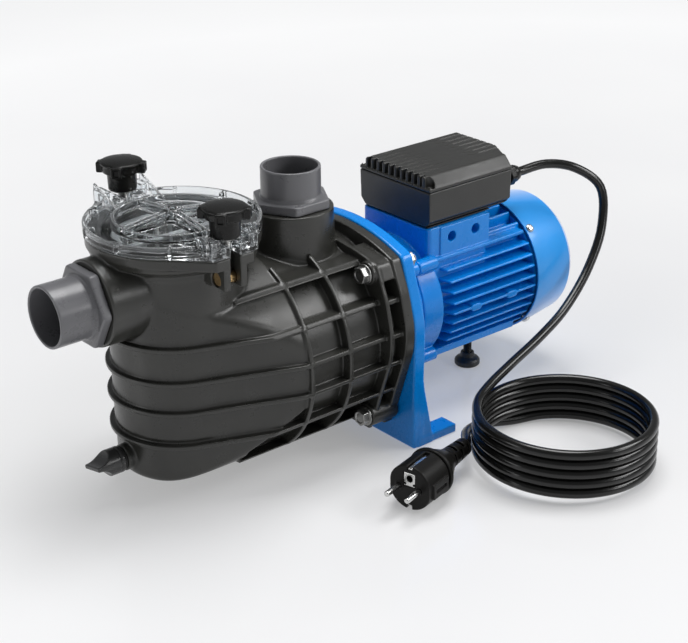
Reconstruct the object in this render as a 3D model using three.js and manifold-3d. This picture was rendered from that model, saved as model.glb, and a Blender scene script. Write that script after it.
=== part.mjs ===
// Self-priming pool pump with a hair-and-lint strainer, as an assembly of separate pieces.
// Millimetres. +Z is up, +X runs along the shaft from the strainer to the motor.
// The origin is on the floor under the shaft, in the middle of the bracket's thickness.
import * as THREE from 'three';
import { mergeVertices } from 'three/addons/utils/BufferGeometryUtils.js';
import Module from 'manifold-3d';

const wasm = await Module();
wasm.setup();

// ---------------------------------------------------------------- driving dimensions

const gap = 0.3;                    // clearance left between neighbouring pieces
const shaftZ = 97.5;                // shaft height above the floor

// bracket between the pump and the motor
const bracketThick = 12;
const bracketHalfWidth = 93;
const bracketTopZ = 188;
const bracketFront = -bracketThick / 2;
const bracketBack = bracketThick / 2;
const archR = 191.5;                // radius of the arched tops of the bracket and the casing flange

// pump casing
const volute = { front: -111, skin: 80, wall: 5, ribR: 89, boreR: 75, stepR: 72, stepX: -19 };
const ribThick = 4;
const ribOffsets = [13, 42, 70.5];  // heights of the long ribs above and below the shaft
const strainer = { x: -177, neckR: 53, boreR: 47.5, rimR: 69, rimTop: 219.5, rimThick: 10.5 };
const sump = { noseR: 55, wall: 4.5, bottom: 20, top: 150, flare: 21.7, ribDepth: 5, endX: -113 };
const suction = { z: 177, face: -256.5, bossR: 35, boreR: 25, end: -296 };
const discharge = { x: -60, top: 210.5, bossR: 35, boreR: 25, end: 245 };
const pipe = { outR: 25, inR: 22.5, hexR: 34, hexThick: 8, maleR: 24.2, maleBoreR: 20, maleLength: 24 };
const drain = { z: 37, bossEnd: -238, bossR: 11, holeR: 6.6, plugR: 6.2 };
const casingBolt = { y: 66, z: 65, shankR: 4, headR: 7.5, bossR: 10, bossFront: -36 };

// swing bolts that hold the strainer lid down
const swing = { x: -177, y: 70.3, z: 200, rodR: 4, barrelR: 5.5, slot: 9, earOut: 82.3 };
const lid = { r: 70, bottom: 220, top: 230.5, floor: 222, earTop: 229, ringR: 47 };
const knob = { bottom: 233, bodyR: 11.5, gripBottom: 247, top: 258.5, gripR: 16, lobeR: 20 };

// motor
const motor = { front: 38.3, finStart: 66.5, end: 172, drumR: 46.5, boreR: 42, tipR: 61.7 };
const fin = { pitch: 9.5, first: 43.5, count: 10, thick: 2.4 };
const motorBase = { bottom: 50, thick: 6, halfWidth: 46, front: 46, back: 160 };
const cowl = { front: 172.8, frontR: 63.7, backR: 58.6, back: 219, end: 226, wall: 1.6 };
const foot = { x: 147, padR: 12, stemR: 4, stemTop: 53.5 };

// terminal box
const box = { x0: 53, x1: 166, halfY: 46, bottom: 172.6, split: 205, top: 217.5, wall: 3 };
const boxStep = { x: 152, y0: -35, y1: -10 };
const gland = { y: -24, z: 190, x0: 150, x1: 180 };
const pedestal = { x0: 54, x1: 127, halfY: 44, top: 171, holeX: [81.5, 110], holeR: 4.6, holeZ: 159.2 };

// power cable and plug
const cable = { r: 4.25, coilX: 77.7, coilY: -188.3, coilR: 73.4, turns: 4.875, pitch: 8.62 };
const plug = { x: -77, y: -166.3, z: 21, yaw: 195, r: 18.5, flangeR: 20.5, pinR: 2.4, pinOut: 19 };

// ---------------------------------------------------------------- solids

const degrees = Math.PI / 180;

// Sides of round pieces: large castings, ordinary round pieces, and small rods and holes.
const large = 24;
const round = 16;
const small = 6;

// Turns a closed three.js geometry into a solid with merged corners and outward faces.
function solid(geometry) {
  const bare = geometry.clone();
  for (const name of Object.keys(bare.attributes)) {
    if (name !== 'position') bare.deleteAttribute(name);
  }
  const merged = mergeVertices(bare, 1e-4);
  const index = merged.index.array;
  const kept = [];
  for (let i = 0; i < index.length; i += 3) {
    const [a, b, c] = [index[i], index[i + 1], index[i + 2]];
    if (a !== b && b !== c && c !== a) kept.push(a, b, c);
  }
  const vertices = new Float32Array(merged.attributes.position.array);
  const make = (tris) => new wasm.Manifold(new wasm.Mesh({
    numProp: 3,
    vertProperties: vertices,
    triVerts: new Uint32Array(tris),
  }));
  const made = make(kept);
  if (made.volume() > 0) return made;
  for (let i = 0; i < kept.length; i += 3) [kept[i], kept[i + 1]] = [kept[i + 1], kept[i]];
  return make(kept);
}

const join = (...solids) => solids.reduce((sum, next) => sum.add(next));
const cut = (body, ...tools) => tools.reduce((rest, tool) => rest.subtract(tool), body);

function block(x0, x1, y0, y1, z0, z1) {
  const geometry = new THREE.BoxGeometry(x1 - x0, y1 - y0, z1 - z0);
  geometry.translate((x0 + x1) / 2, (y0 + y1) / 2, (z0 + z1) / 2);
  return solid(geometry);
}

function rodX(x0, x1, r, y = 0, z = shaftZ, sides = round, endR = r) {
  const geometry = new THREE.CylinderGeometry(endR, r, x1 - x0, sides);
  geometry.rotateZ(-Math.PI / 2);
  geometry.translate((x0 + x1) / 2, y, z);
  return solid(geometry);
}

function rodZ(z0, z1, r, x = 0, y = 0, sides = round, topR = r) {
  const geometry = new THREE.CylinderGeometry(topR, r, z1 - z0, sides);
  geometry.rotateX(Math.PI / 2);
  geometry.translate(x, y, (z0 + z1) / 2);
  return solid(geometry);
}

const tubeX = (x0, x1, outR, inR, y = 0, z = shaftZ, sides = round) =>
  cut(rodX(x0, x1, outR, y, z, sides), rodX(x0 - 1, x1 + 1, inR, y, z, sides));
const tubeZ = (z0, z1, outR, inR, x = 0, y = 0, sides = round) =>
  cut(rodZ(z0, z1, outR, x, y, sides), rodZ(z0 - 1, z1 + 1, inR, x, y, sides));

// Turned pieces: profile points are [radius, distance along the axis].
function turned(profile, sides) {
  return new THREE.LatheGeometry(profile.map(([r, d]) => new THREE.Vector2(r, d)), sides);
}

function turnedX(profile, y = 0, z = shaftZ, sides = round) {
  const geometry = turned(profile, sides);
  geometry.rotateZ(-Math.PI / 2);
  geometry.translate(0, y, z);
  return solid(geometry);
}

function turnedZ(profile, x = 0, y = 0, sides = round) {
  const geometry = turned(profile, sides);
  geometry.rotateX(Math.PI / 2);
  geometry.translate(x, y, 0);
  return solid(geometry);
}

// Extrusions of a plan outline along Z, and of a (y, z) outline along X.
function prismZ(shape, z0, z1, curveSegments = 6) {
  const geometry = new THREE.ExtrudeGeometry(shape, { depth: z1 - z0, bevelEnabled: false, curveSegments });
  geometry.translate(0, 0, z0);
  return solid(geometry);
}

function prismX(shape, x0, x1, curveSegments = 6) {
  const geometry = new THREE.ExtrudeGeometry(shape, { depth: x1 - x0, bevelEnabled: false, curveSegments });
  geometry.rotateX(Math.PI / 2);
  geometry.rotateZ(Math.PI / 2);
  geometry.translate(x0, 0, 0);
  return solid(geometry);
}

function polygon(points) {
  return new THREE.Shape(points.map(([a, b]) => new THREE.Vector2(a, b)));
}

// Hexagonal prism along X or Z.
const hexX = (x0, x1, r, y, z) => rodX(x0, x1, r, y, z, 6);
const hexZ = (z0, z1, r, x, y) => rodZ(z0, z1, r, x, y, 6);

// ---------------------------------------------------------------- parts and materials

const pump = new THREE.Group();

const finish = {
  casing: [0x2b2b2a, 0.5, 0],
  darkPlastic: [0x1b1b1b, 0.45, 0],
  greyPipe: [0x6d6e73, 0.4, 0],
  clear: [0xdfe6e8, 0.08, 0],
  rubber: [0x141414, 0.75, 0],
  blue: [0x0a5fc4, 0.35, 0.1],
  steel: [0xb9bcc0, 0.3, 0.9],
  lamination: [0x6f7377, 0.5, 0.7],
  copper: [0xb06a36, 0.4, 0.8],
  brass: [0xb08d4a, 0.35, 0.9],
  whitePlastic: [0xd8d6cd, 0.5, 0],
  innerPlastic: [0x3c3f42, 0.5, 0],
  ceramic: [0xe6e2d8, 0.3, 0],
};

function addPart(name, body, finishName) {
  const { vertProperties, triVerts } = body.getMesh();
  const geometry = new THREE.BufferGeometry();
  geometry.setAttribute('position', new THREE.BufferAttribute(new Float32Array(vertProperties), 3));
  geometry.setIndex(new THREE.BufferAttribute(new Uint32Array(triVerts), 1));
  geometry.computeVertexNormals();
  const [color, roughness, metalness] = finish[finishName];
  const mesh = new THREE.Mesh(geometry, new THREE.MeshStandardMaterial({ color, roughness, metalness }));
  mesh.name = name;
  pump.add(mesh);
}

// ---------------------------------------------------------------- pump casing

// Plan outline of the strainer body: a round nose whose straight sides flare towards the volute.
function sumpOutline(noseR, endX) {
  const angle = sump.flare * degrees;
  const tangentX = strainer.x - noseR * Math.sin(angle);
  const halfEnd = noseR * Math.cos(angle) + (endX - tangentX) * Math.tan(angle);
  const shape = new THREE.Shape();
  shape.moveTo(endX, -halfEnd);
  shape.lineTo(endX, halfEnd);
  shape.absarc(strainer.x, 0, noseR, Math.PI / 2 + angle, 1.5 * Math.PI - angle, false);
  shape.closePath();
  return shape;
}

// Outline of the volute's rear flange in the (y, z) plane, with an arched top.
function flangeOutline(inset) {
  const shoulderY = 75 - inset;
  const shoulderZ = 171.7 - inset;
  const archZ = shoulderZ - Math.sqrt(archR ** 2 - shoulderY ** 2);
  const half = Math.acos(shoulderY / archR);
  const side = [[87.5, 142.4], [94, 116], [94, 94.5], [84.7, 68.4], [75.7, 41.5], [66, 18]];
  const shape = new THREE.Shape();
  shape.absarc(0, archZ, archR, half, Math.PI - half, false);
  for (const [y, z] of side) shape.lineTo(-(y - inset), z);
  for (const [y, z] of side.slice().reverse()) shape.lineTo(y - inset, z);
  shape.closePath();
  return shape;
}

function casingSolid() {
  const shaftBand = rodX(-245, -100, 88, 0, shaftZ, large);
  const body = prismZ(sumpOutline(sump.noseR, sump.endX), sump.bottom, sump.top).intersect(shaftBand);
  const neck = rodZ(60, 206, strainer.neckR, strainer.x, 0, large);
  const rim = turnedZ([
    [0, 200], [strainer.neckR, 200], [strainer.rimR - 2, 207],
    [strainer.rimR, strainer.rimTop - strainer.rimThick], [strainer.rimR, strainer.rimTop], [0, strainer.rimTop],
  ], strainer.x, 0, large);
  const shoulder = rodX(-152, volute.front, 50, 0, shaftZ, large, volute.skin);
  const barrel = rodX(volute.front, bracketFront - gap, volute.skin, 0, shaftZ, large);
  const pieces = [body, neck, rim, shoulder, barrel];
  pieces.push(rodX(suction.face, -205, suction.bossR, 0, suction.z, large));
  pieces.push(rodZ(150, discharge.top, discharge.bossR, discharge.x, 0, large));
  pieces.push(rodX(drain.bossEnd, -215, drain.bossR, 0, drain.z, round));
  pieces.push(...wrapRibs(), ...voluteRibs(), ...flangePieces(), ...lidForks());
  return cut(join(...pieces), ...casingHollows());
}

// Horizontal bands that run round the strainer body and on to the volute.
function wrapRibs() {
  const shaftBand = rodX(-250, -100, volute.ribR, 0, shaftZ, large);
  const ribs = [];
  for (const offset of ribOffsets.slice(0, 2)) {
    for (const side of [-1, 1]) {
      const middle = shaftZ + side * offset;
      const outline = sumpOutline(sump.noseR + sump.ribDepth, volute.front + 2);
      ribs.push(prismZ(outline, middle - ribThick / 2, middle + ribThick / 2).intersect(shaftBand));
    }
  }
  return ribs;
}

// Rings round the volute, open at the top, and level ribs back to the flange.
// The highest ribs start at the strainer's neck.
function voluteRibs() {
  const ribs = [];
  const openTop = block(-130, -50, -36, 36, 165, 190);
  for (const x of [volute.front - 1, discharge.x - 12]) {
    ribs.push(cut(rodX(x, x + ribThick, volute.ribR, 0, shaftZ, large), openTop));
  }
  const band = rodX(strainer.x, bracketFront - gap, volute.ribR, 0, shaftZ, large);
  for (const offset of ribOffsets) {
    for (const side of [-1, 1]) {
      const middle = shaftZ + side * offset;
      const front = side * offset === ribOffsets[2] ? strainer.x + 17 : volute.front;
      const plate = block(front, bracketFront - gap, -95, 95, middle - ribThick / 2, middle + ribThick / 2);
      ribs.push(plate.intersect(band));
    }
  }
  return ribs;
}

function flangePieces() {
  const rear = prismX(flangeOutline(0), -16, bracketFront - gap);
  const frontFrame = prismX(flangeOutline(3), -31, -27);
  const bosses = boltPlaces().map(([y, z]) => rodX(casingBolt.bossFront, -10, casingBolt.bossR, y, z, small));
  return [rear, frontFrame, ...bosses];
}

function boltPlaces() {
  const places = [];
  for (const side of [-1, 1]) {
    for (const end of [-1, 1]) places.push([side * casingBolt.y, shaftZ + end * casingBolt.z]);
  }
  return places;
}

// Two ears on each side of the strainer rim, which hold the swing bolt's barrel.
function lidForks() {
  const ears = [];
  for (const side of [-1, 1]) {
    const y0 = Math.min(side * 60, side * swing.earOut);
    const y1 = Math.max(side * 60, side * swing.earOut);
    ears.push(block(swing.x - 9.5, swing.x - swing.slot / 2, y0, y1, 192.5, strainer.rimTop));
    ears.push(block(swing.x + swing.slot / 2, swing.x + 9.5, y0, y1, 192.5, strainer.rimTop));
    ears.push(block(swing.x - 17, swing.x + 17, y0, y1, strainer.rimTop - 9, strainer.rimTop));
  }
  return ears;
}

function casingHollows() {
  const inside = prismZ(sumpOutline(sump.noseR - sump.wall, sump.endX), sump.bottom + sump.wall, sump.top - 10)
    .intersect(rodX(-245, sump.endX, 83, 0, shaftZ, large));
  const hollows = [inside];
  hollows.push(rodZ(sump.bottom + sump.wall, 230, strainer.boreR, strainer.x, 0, large));
  hollows.push(rodZ(207, 230, 50.5, strainer.x, 0, large));
  hollows.push(rodX(volute.front + 3, 0, volute.stepR, 0, shaftZ, large));
  hollows.push(rodX(volute.stepX, 0, volute.boreR, 0, shaftZ, large));
  hollows.push(rodX(-125, -100, 24, 0, shaftZ, round));
  hollows.push(rodX(suction.face - 1, -205, suction.boreR, 0, suction.z, round));
  hollows.push(rodZ(160, discharge.top + 1, discharge.boreR, discharge.x, 0, round));
  hollows.push(rodX(drain.bossEnd - 1, -210, drain.holeR, 0, drain.z));
  for (const [y, z] of boltPlaces()) hollows.push(rodX(-50, 0, casingBolt.shankR + 0.4, y, z, small));
  for (const side of [-1, 1]) {
    hollows.push(rodX(swing.x - 20, swing.x + 20, swing.barrelR + gap, side * swing.y, swing.z, round));
    const y0 = Math.min(side * 65, side * 90);
    const y1 = Math.max(side * 65, side * 90);
    hollows.push(block(swing.x - swing.slot / 2, swing.x + swing.slot / 2, y0, y1, 185, 225));
  }
  return hollows;
}

addPart('pump_casing', casingSolid(), 'casing');

// ---------------------------------------------------------------- strainer

addPart('lid_gasket', tubeZ(strainer.rimTop + gap, lid.floor - gap, 60, 54, strainer.x, 0, large), 'rubber');

function lidSolid() {
  const rimInnerR = lid.r - 4;
  const pieces = [turnedZ([
    [0, lid.floor], [52, lid.floor], [rimInnerR, lid.floor], [rimInnerR, lid.bottom], [lid.r, lid.bottom],
    [lid.r, lid.top], [rimInnerR, lid.top], [rimInnerR, lid.floor + 3.5], [0, lid.floor + 3.5],
  ], strainer.x, 0, large)];
  pieces.push(tubeZ(lid.floor + 1, lid.top + 2, lid.ringR, lid.ringR - 3, strainer.x, 0, large));
  pieces.push(rodZ(lid.floor + 1, lid.top + 2, 6, strainer.x, 0, small));
  for (let i = 0; i < 3; i += 1) {
    const spoke = new THREE.BoxGeometry(2 * lid.ringR - 3, 2.6, 10);
    spoke.rotateZ(i * 60 * degrees + 30 * degrees);
    spoke.translate(strainer.x, 0, lid.floor + 6);
    pieces.push(solid(spoke));
  }
  for (const side of [-1, 1]) {
    for (const end of [-1, 1]) {
      const x0 = swing.x + end * swing.slot / 2;
      const x1 = swing.x + end * 14;
      pieces.push(block(Math.min(x0, x1), Math.max(x0, x1), Math.min(side * 60, side * swing.earOut),
        Math.max(side * 60, side * swing.earOut), lid.bottom, lid.earTop));
    }
  }
  const slots = [-1, 1].map((side) => block(swing.x - swing.slot / 2, swing.x + swing.slot / 2,
    Math.min(side * 65, side * 90), Math.max(side * 65, side * 90), 210, 240));
  return cut(join(...pieces), ...slots);
}

addPart('strainer_lid', lidSolid(), 'clear');

function basketSolid() {
  const r = 44;
  const bottom = 30;
  const pieces = [tubeZ(208, 214, 50, 41.5, strainer.x, 0, round), rodZ(bottom, bottom + 3, r - 4, strainer.x, 0, round)];
  for (const z of [bottom, 90, 150]) pieces.push(tubeZ(z, z + 4, r, r - 5, strainer.x, 0, round));
  const bars = 8;
  for (let i = 0; i < bars; i += 1) {
    const bar = new THREE.BoxGeometry(3, 5, 211 - bottom);
    bar.translate(r - 2.2, 0, (bottom + 211) / 2);
    bar.rotateZ(i * 360 / bars * degrees);
    bar.translate(strainer.x, 0, 0);
    pieces.push(solid(bar));
  }
  const handle = join(block(strainer.x - r + 1, strainer.x + r - 1, -3, 3, 211, 214));
  return join(...pieces, handle);
}

addPart('strainer_basket', basketSolid(), 'innerPlastic');

// ---------------------------------------------------------------- unions

// Threaded adaptor with a hexagon and a plain pipe end, turned about the outward direction.
function unionProfile(seat, hexEnd, end, direction) {
  const inner = seat - direction * pipe.maleLength;
  return [
    [pipe.maleBoreR, inner], [pipe.maleR, inner], [pipe.maleR, seat], [26, seat],
    [26, hexEnd], [pipe.outR, hexEnd], [pipe.outR, end], [pipe.inR, end], [pipe.inR, seat], [pipe.maleBoreR, seat],
    [pipe.maleBoreR, inner],
  ];
}

const suctionSeat = suction.face - gap;
const suctionHexEnd = suctionSeat - pipe.hexThick;
const suctionHex = cut(
  hexX(suctionHexEnd, suctionSeat, pipe.hexR, 0, suction.z),
  rodX(suctionHexEnd - 1, suctionSeat + 1, pipe.outR - 1, 0, suction.z, large),
);
addPart('suction_union', join(
  turnedX(unionProfile(suctionSeat, suctionHexEnd, suction.end, -1), 0, suction.z, large),
  suctionHex,
), 'greyPipe');

const dischargeSeat = discharge.top + gap;
const dischargeHexEnd = dischargeSeat + pipe.hexThick;
const dischargeHex = cut(
  hexZ(dischargeSeat, dischargeHexEnd, pipe.hexR, discharge.x, 0),
  rodZ(dischargeSeat - 1, dischargeHexEnd + 1, pipe.outR - 1, discharge.x, 0, large),
);
addPart('discharge_union', join(
  turnedZ(unionProfile(dischargeSeat, dischargeHexEnd, discharge.end, 1), discharge.x, 0, large),
  dischargeHex,
), 'greyPipe');

// ---------------------------------------------------------------- swing bolts and knobs

function addSwingBolt(side, label) {
  const y = side * swing.y;
  const barrel = rodX(swing.x - 9, swing.x + 9, swing.barrelR, y, swing.z, round);
  const crossHole = rodZ(swing.z - 10, swing.z + 10, swing.rodR + gap, swing.x, y, round);
  addPart(`bolt_barrel_${label}`, cut(barrel, crossHole), 'brass');
  addPart(`swing_bolt_${label}`, rodZ(192, 250, swing.rodR, swing.x, y, round), 'steel');
  addPart(`knob_washer_${label}`, tubeZ(knob.bottom - 1.2, knob.bottom - gap, 9, swing.rodR + gap, swing.x, y, round), 'steel');
  addPart(`knob_${label}`, knobSolid(y), 'darkPlastic');
}

function knobSolid(y) {
  const grip = turnedZ([
    [0, knob.bottom], [knob.bodyR, knob.bottom], [knob.bodyR + 0.5, knob.gripBottom], [knob.gripR, knob.gripBottom],
    [knob.gripR, knob.top - 3], [knob.gripR - 4, knob.top - 0.6], [0, knob.top],
  ], swing.x, y, round);
  const lobes = [];
  for (let i = 0; i < 4; i += 1) {
    const angle = (i * 90 + 45) * degrees;
    lobes.push(rodZ(knob.gripBottom, knob.top - 3.5, 4.2,
      swing.x + (knob.lobeR - 4.2) * Math.cos(angle), y + (knob.lobeR - 4.2) * Math.sin(angle), small));
  }
  return cut(join(grip, ...lobes), rodZ(knob.bottom - 1, 252, swing.rodR + gap, swing.x, y, round));
}

addSwingBolt(1, 'left');
addSwingBolt(-1, 'right');

// ---------------------------------------------------------------- drain plug

const drainSeat = drain.bossEnd - 2.2;
addPart('drain_gasket', tubeX(drainSeat + gap, drain.bossEnd - gap, 10, 6.8, 0, drain.z, round), 'rubber');

function drainPlugSolid() {
  const head = rodX(drainSeat - 13, drainSeat, 12, 0, drain.z, round);
  const stem = rodX(drainSeat - 1, drainSeat + 13, drain.plugR, 0, drain.z);
  const blade = block(drainSeat - 26, drainSeat - 5, -11, 11, drain.z - 3, drain.z + 3);
  return join(head, stem, blade);
}

addPart('drain_plug', drainPlugSolid(), 'innerPlastic');

// ---------------------------------------------------------------- wet end inside the volute

addPart('casing_oring', tubeX(volute.stepX + gap, -16 - gap, volute.boreR - gap, 69, 0, shaftZ, large), 'rubber');

const sealPlateProfile = [
  [14, -16], [volute.boreR - 0.5, -16], [volute.boreR - 0.5, bracketFront - gap], [30, bracketFront - gap],
  [30, -2], [11, -2], [11, -10], [14, -10], [14, -16],
];
addPart('seal_plate', turnedX(sealPlateProfile, 0, shaftZ, large), 'innerPlastic');
addPart('seal_seat', tubeX(-16.3, -10 - gap, 13.6, 10.5), 'ceramic');

function diffuserSolid() {
  const profile = [
    [20.5, -114], [23.5, -114], [23.5, -62], [66, -62], [66, -22], [62, -22], [62, -58],
    [26.5, -58], [26.5, -60], [20.5, -60], [20.5, -114],
  ];
  const windows = [];
  for (let i = 0; i < 6; i += 1) {
    const hole = new THREE.BoxGeometry(22, 16, 20);
    hole.translate(-40, 0, 64);
    hole.rotateX(i * 60 * degrees);
    hole.translate(0, 0, shaftZ);
    windows.push(solid(hole));
  }
  return cut(turnedX(profile, 0, shaftZ, large), ...windows);
}

addPart('diffuser', diffuserSolid(), 'innerPlastic');

// Closed impeller: back plate, front shroud with a round eye, and swept vanes between them.
function impellerSolid() {
  const backPlate = turnedX([
    [6.5 + gap, -53], [10, -53], [12, -37], [55, -37], [55, -34], [12.5, -34], [12.5, -32], [6.5 + gap, -32],
    [6.5 + gap, -53],
  ], 0, shaftZ, large);
  const shroud = turnedX([
    [22, -59], [24.5, -59], [24.5, -53], [55, -48], [55, -45.5], [22, -50], [22, -59],
  ], 0, shaftZ, large);
  const vanes = [];
  const vaneCount = 6;
  for (let i = 0; i < vaneCount; i += 1) {
    const vane = new THREE.BoxGeometry(14, 44, 2.5);
    vane.rotateX(-42 * degrees);
    vane.translate(-42, 0, 38);
    vane.rotateX(i * 360 / vaneCount * degrees);
    vane.translate(0, 0, shaftZ);
    vanes.push(solid(vane));
  }
  const limits = cut(rodX(-52, -36, 54.8, 0, shaftZ, large), rodX(-53, -35, 20, 0, shaftZ, round));
  return join(backPlate, shroud, join(...vanes).intersect(limits));
}

addPart('impeller', impellerSolid(), 'innerPlastic');
addPart('seal_head', tubeX(-31.7, -16.6, 12, 8.8), 'steel');

// ---------------------------------------------------------------- bracket and casing bolts

function bracketSolid() {
  const shoulderY = 76.5;
  const archZ = bracketTopZ - archR;
  const shoulderZ = archZ + Math.sqrt(archR ** 2 - shoulderY ** 2);
  const half = Math.atan2(shoulderZ - archZ, shoulderY);
  const outline = new THREE.Shape();
  outline.absarc(0, archZ, archR, half, Math.PI - half, false);
  outline.lineTo(-94, 116);
  outline.lineTo(-94, 96);
  outline.lineTo(-bracketHalfWidth, 60);
  outline.lineTo(-bracketHalfWidth, 0);
  outline.lineTo(bracketHalfWidth, 0);
  outline.lineTo(bracketHalfWidth, 60);
  outline.lineTo(94, 96);
  outline.lineTo(94, 116);
  outline.closePath();
  const pieces = [prismX(outline, bracketFront, bracketBack)];
  for (const side of [-1, 1]) {
    const y0 = Math.min(side * 75, side * bracketHalfWidth);
    const y1 = Math.max(side * 75, side * bracketHalfWidth);
    pieces.push(block(0, 44, y0, y1, 0, 8));
    pieces.push(gusset(y0, y1));
  }
  const holes = boltPlaces().map(([y, z]) => rodX(-20, 20, casingBolt.shankR + 0.4, y, z, small));
  return cut(join(...pieces), rodX(-20, 20, 36, 0, shaftZ, round), ...holes);
}

// Wedge that thickens each leg towards its foot.
function gusset(y0, y1) {
  const shape = polygon([[0, 0], [16, 0], [15.6, 12], [bracketBack, 58], [0, 58]]);
  const geometry = new THREE.ExtrudeGeometry(shape, { depth: y1 - y0, bevelEnabled: false });
  geometry.rotateX(Math.PI / 2);
  geometry.translate(0, y1, 0);
  return solid(geometry);
}

addPart('motor_bracket', bracketSolid(), 'blue');

boltPlaces().forEach(([y, z], i) => {
  const head = hexX(casingBolt.bossFront - gap - 7.5, casingBolt.bossFront - gap - 1.6, casingBolt.headR, y, z);
  const washer = rodX(casingBolt.bossFront - gap - 1.6, casingBolt.bossFront - gap, 8.5, y, z, small);
  const shank = rodX(casingBolt.bossFront - 2, 17, casingBolt.shankR, y, z, small);
  addPart(`casing_bolt_${i + 1}`, join(head, washer, shank), 'steel');
  const nut = cut(hexX(bracketBack + gap, 13, casingBolt.headR, y, z), rodX(0, 20, casingBolt.shankR + gap, y, z, small));
  addPart(`casing_nut_${i + 1}`, nut, 'steel');
});

// ---------------------------------------------------------------- motor frame

// Drive-end shield: a hollow drum between the bracket and the finned frame, with a bearing seat.
const frontShieldProfile = [
  [20.3, 20], [40, 20], [40, bracketBack + gap], [55, bracketBack + gap], [56, 9], [56, 38], [50, 38], [50, 25],
  [25, 25], [25, 35], [20.3, 35], [20.3, 20],
];
addPart('front_shield', turnedX(frontShieldProfile, 0, shaftZ, large), 'blue');

function housingSolid() {
  const pieces = [rodX(motor.front, motor.end, motor.drumR, 0, shaftZ, large)];
  pieces.push(rodX(motor.front, motor.finStart - 4, 56, 0, shaftZ, large));
  pieces.push(block(motorBase.front, motorBase.back, -motorBase.halfWidth, motorBase.halfWidth,
    motorBase.bottom, motorBase.bottom + motorBase.thick));
  pieces.push(block(pedestal.x0, pedestal.x1, -pedestal.halfY, pedestal.halfY, 120, pedestal.top));
  pieces.push(...sideFins(), ...topFins());
  const floorCut = block(motor.front - 1, motor.end + 1, -80, 80, 20, motorBase.bottom);
  const bore = rodX(motor.front - 1, motor.end + 1, motor.boreR, 0, shaftZ, large);
  const wireWay = block(70, 110, -20, 20, 120, 180);
  const footHole = rodZ(40, 60, foot.stemR + gap, foot.x, 0);
  return cut(join(...pieces), floorCut, bore, wireWay, footHole, ...pedestalHoles());
}

// Blind round holes in the pedestal's long sides.
function pedestalHoles() {
  const holes = [];
  for (const x of pedestal.holeX) {
    for (const side of [-1, 1]) {
      const hole = new THREE.CylinderGeometry(pedestal.holeR, pedestal.holeR, 20, small);
      hole.translate(x, side * pedestal.halfY, pedestal.holeZ);
      holes.push(solid(hole));
    }
  }
  return holes;
}

// Level cooling fins on both sides, whose tips follow a circle round the shaft.
function sideFins() {
  const fins = [];
  for (let i = 0; i < fin.count; i += 1) {
    const offset = fin.first - i * fin.pitch;
    const reach = Math.sqrt(motor.tipR ** 2 - offset ** 2);
    const z = shaftZ + offset;
    fins.push(block(motor.finStart, motor.end, -reach, reach, z - fin.thick / 2, z + fin.thick / 2));
  }
  return fins;
}

// Upright fins on top, behind the terminal pedestal.
function topFins() {
  const fins = [];
  for (const y of [-36, -24, -12, 0, 12, 24, 36]) {
    const top = shaftZ + Math.sqrt(motor.tipR ** 2 - y ** 2);
    fins.push(block(pedestal.x1 - 1, motor.end, y - fin.thick / 2, y + fin.thick / 2, shaftZ + 20, top));
  }
  return fins;
}

addPart('motor_housing', housingSolid(), 'blue');

// ---------------------------------------------------------------- inside the motor

// The winding is one piece: two end turns joined by conductors that run through the stator's slots.
const stator = { front: 75, back: 145, innerR: 27, slots: 8, slotR: 2.6, slotCentreR: 33 };

function slotBars(x0, x1, r) {
  const bars = [];
  for (let i = 0; i < stator.slots; i += 1) {
    const angle = i * 360 / stator.slots * degrees;
    bars.push(rodX(x0, x1, r, stator.slotCentreR * Math.cos(angle), shaftZ + stator.slotCentreR * Math.sin(angle), small));
  }
  return bars;
}

const statorRing = tubeX(stator.front, stator.back, motor.boreR - gap, stator.innerR, 0, shaftZ, large);
addPart('stator_core', cut(statorRing, ...slotBars(stator.front - 1, stator.back + 1, stator.slotR + gap)), 'lamination');

function endTurns(inner, outer) {
  const tip = outer + 3 * Math.sign(inner - outer);
  return turnedX([[29, tip], [32, outer], [38, outer], [40.5, tip], [40.5, inner], [29, inner], [29, tip]]);
}

addPart('stator_winding', join(
  endTurns(stator.front - gap, 62),
  endTurns(stator.back + gap, 158),
  ...slotBars(stator.front - 1, stator.back + 1, stator.slotR),
), 'copper');
addPart('rotor_core', tubeX(stator.front, stator.back, stator.innerR - 0.5, 10 + gap), 'lamination');

const shaftProfile = [
  [0, -52], [6.5, -52], [6.5, -32], [8.5, -31], [8.5, 36], [10, 36], [10, 170], [8.5, 170], [8.5, 186],
  [7, 186], [7, 213], [0, 213],
];
addPart('motor_shaft', turnedX(shaftProfile, 0, shaftZ, round), 'steel');
addPart('front_bearing', tubeX(22, 34, 20, 8.5 + gap), 'steel');
addPart('rear_bearing', tubeX(173, 184, 17.5, 8.5 + gap), 'steel');

const rearShieldProfile = [
  [17.8, 172.5], [59, 172.5], [59, 177], [22, 179], [22, 186], [12, 186], [12, 184.3], [17.8, 184.3], [17.8, 172.5],
];
addPart('rear_shield', turnedX(rearShieldProfile, 0, shaftZ, large), 'blue');

function fanSolid() {
  const hub = turnedX([[7 + gap, 192], [13, 192], [13, 208], [7 + gap, 208], [7 + gap, 192]], 0, shaftZ, round);
  const disc = tubeX(196, 198.5, 52, 12, 0, shaftZ, round);
  const blades = [];
  for (let i = 0; i < 8; i += 1) {
    const blade = new THREE.BoxGeometry(14, 2, 38);
    blade.translate(204, 0, 31.5);
    blade.rotateX(i * 45 * degrees);
    blade.translate(0, 0, shaftZ);
    blades.push(solid(blade));
  }
  return join(hub, disc, ...blades);
}

addPart('cooling_fan', fanSolid(), 'darkPlastic');

// ---------------------------------------------------------------- fan cowl

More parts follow.
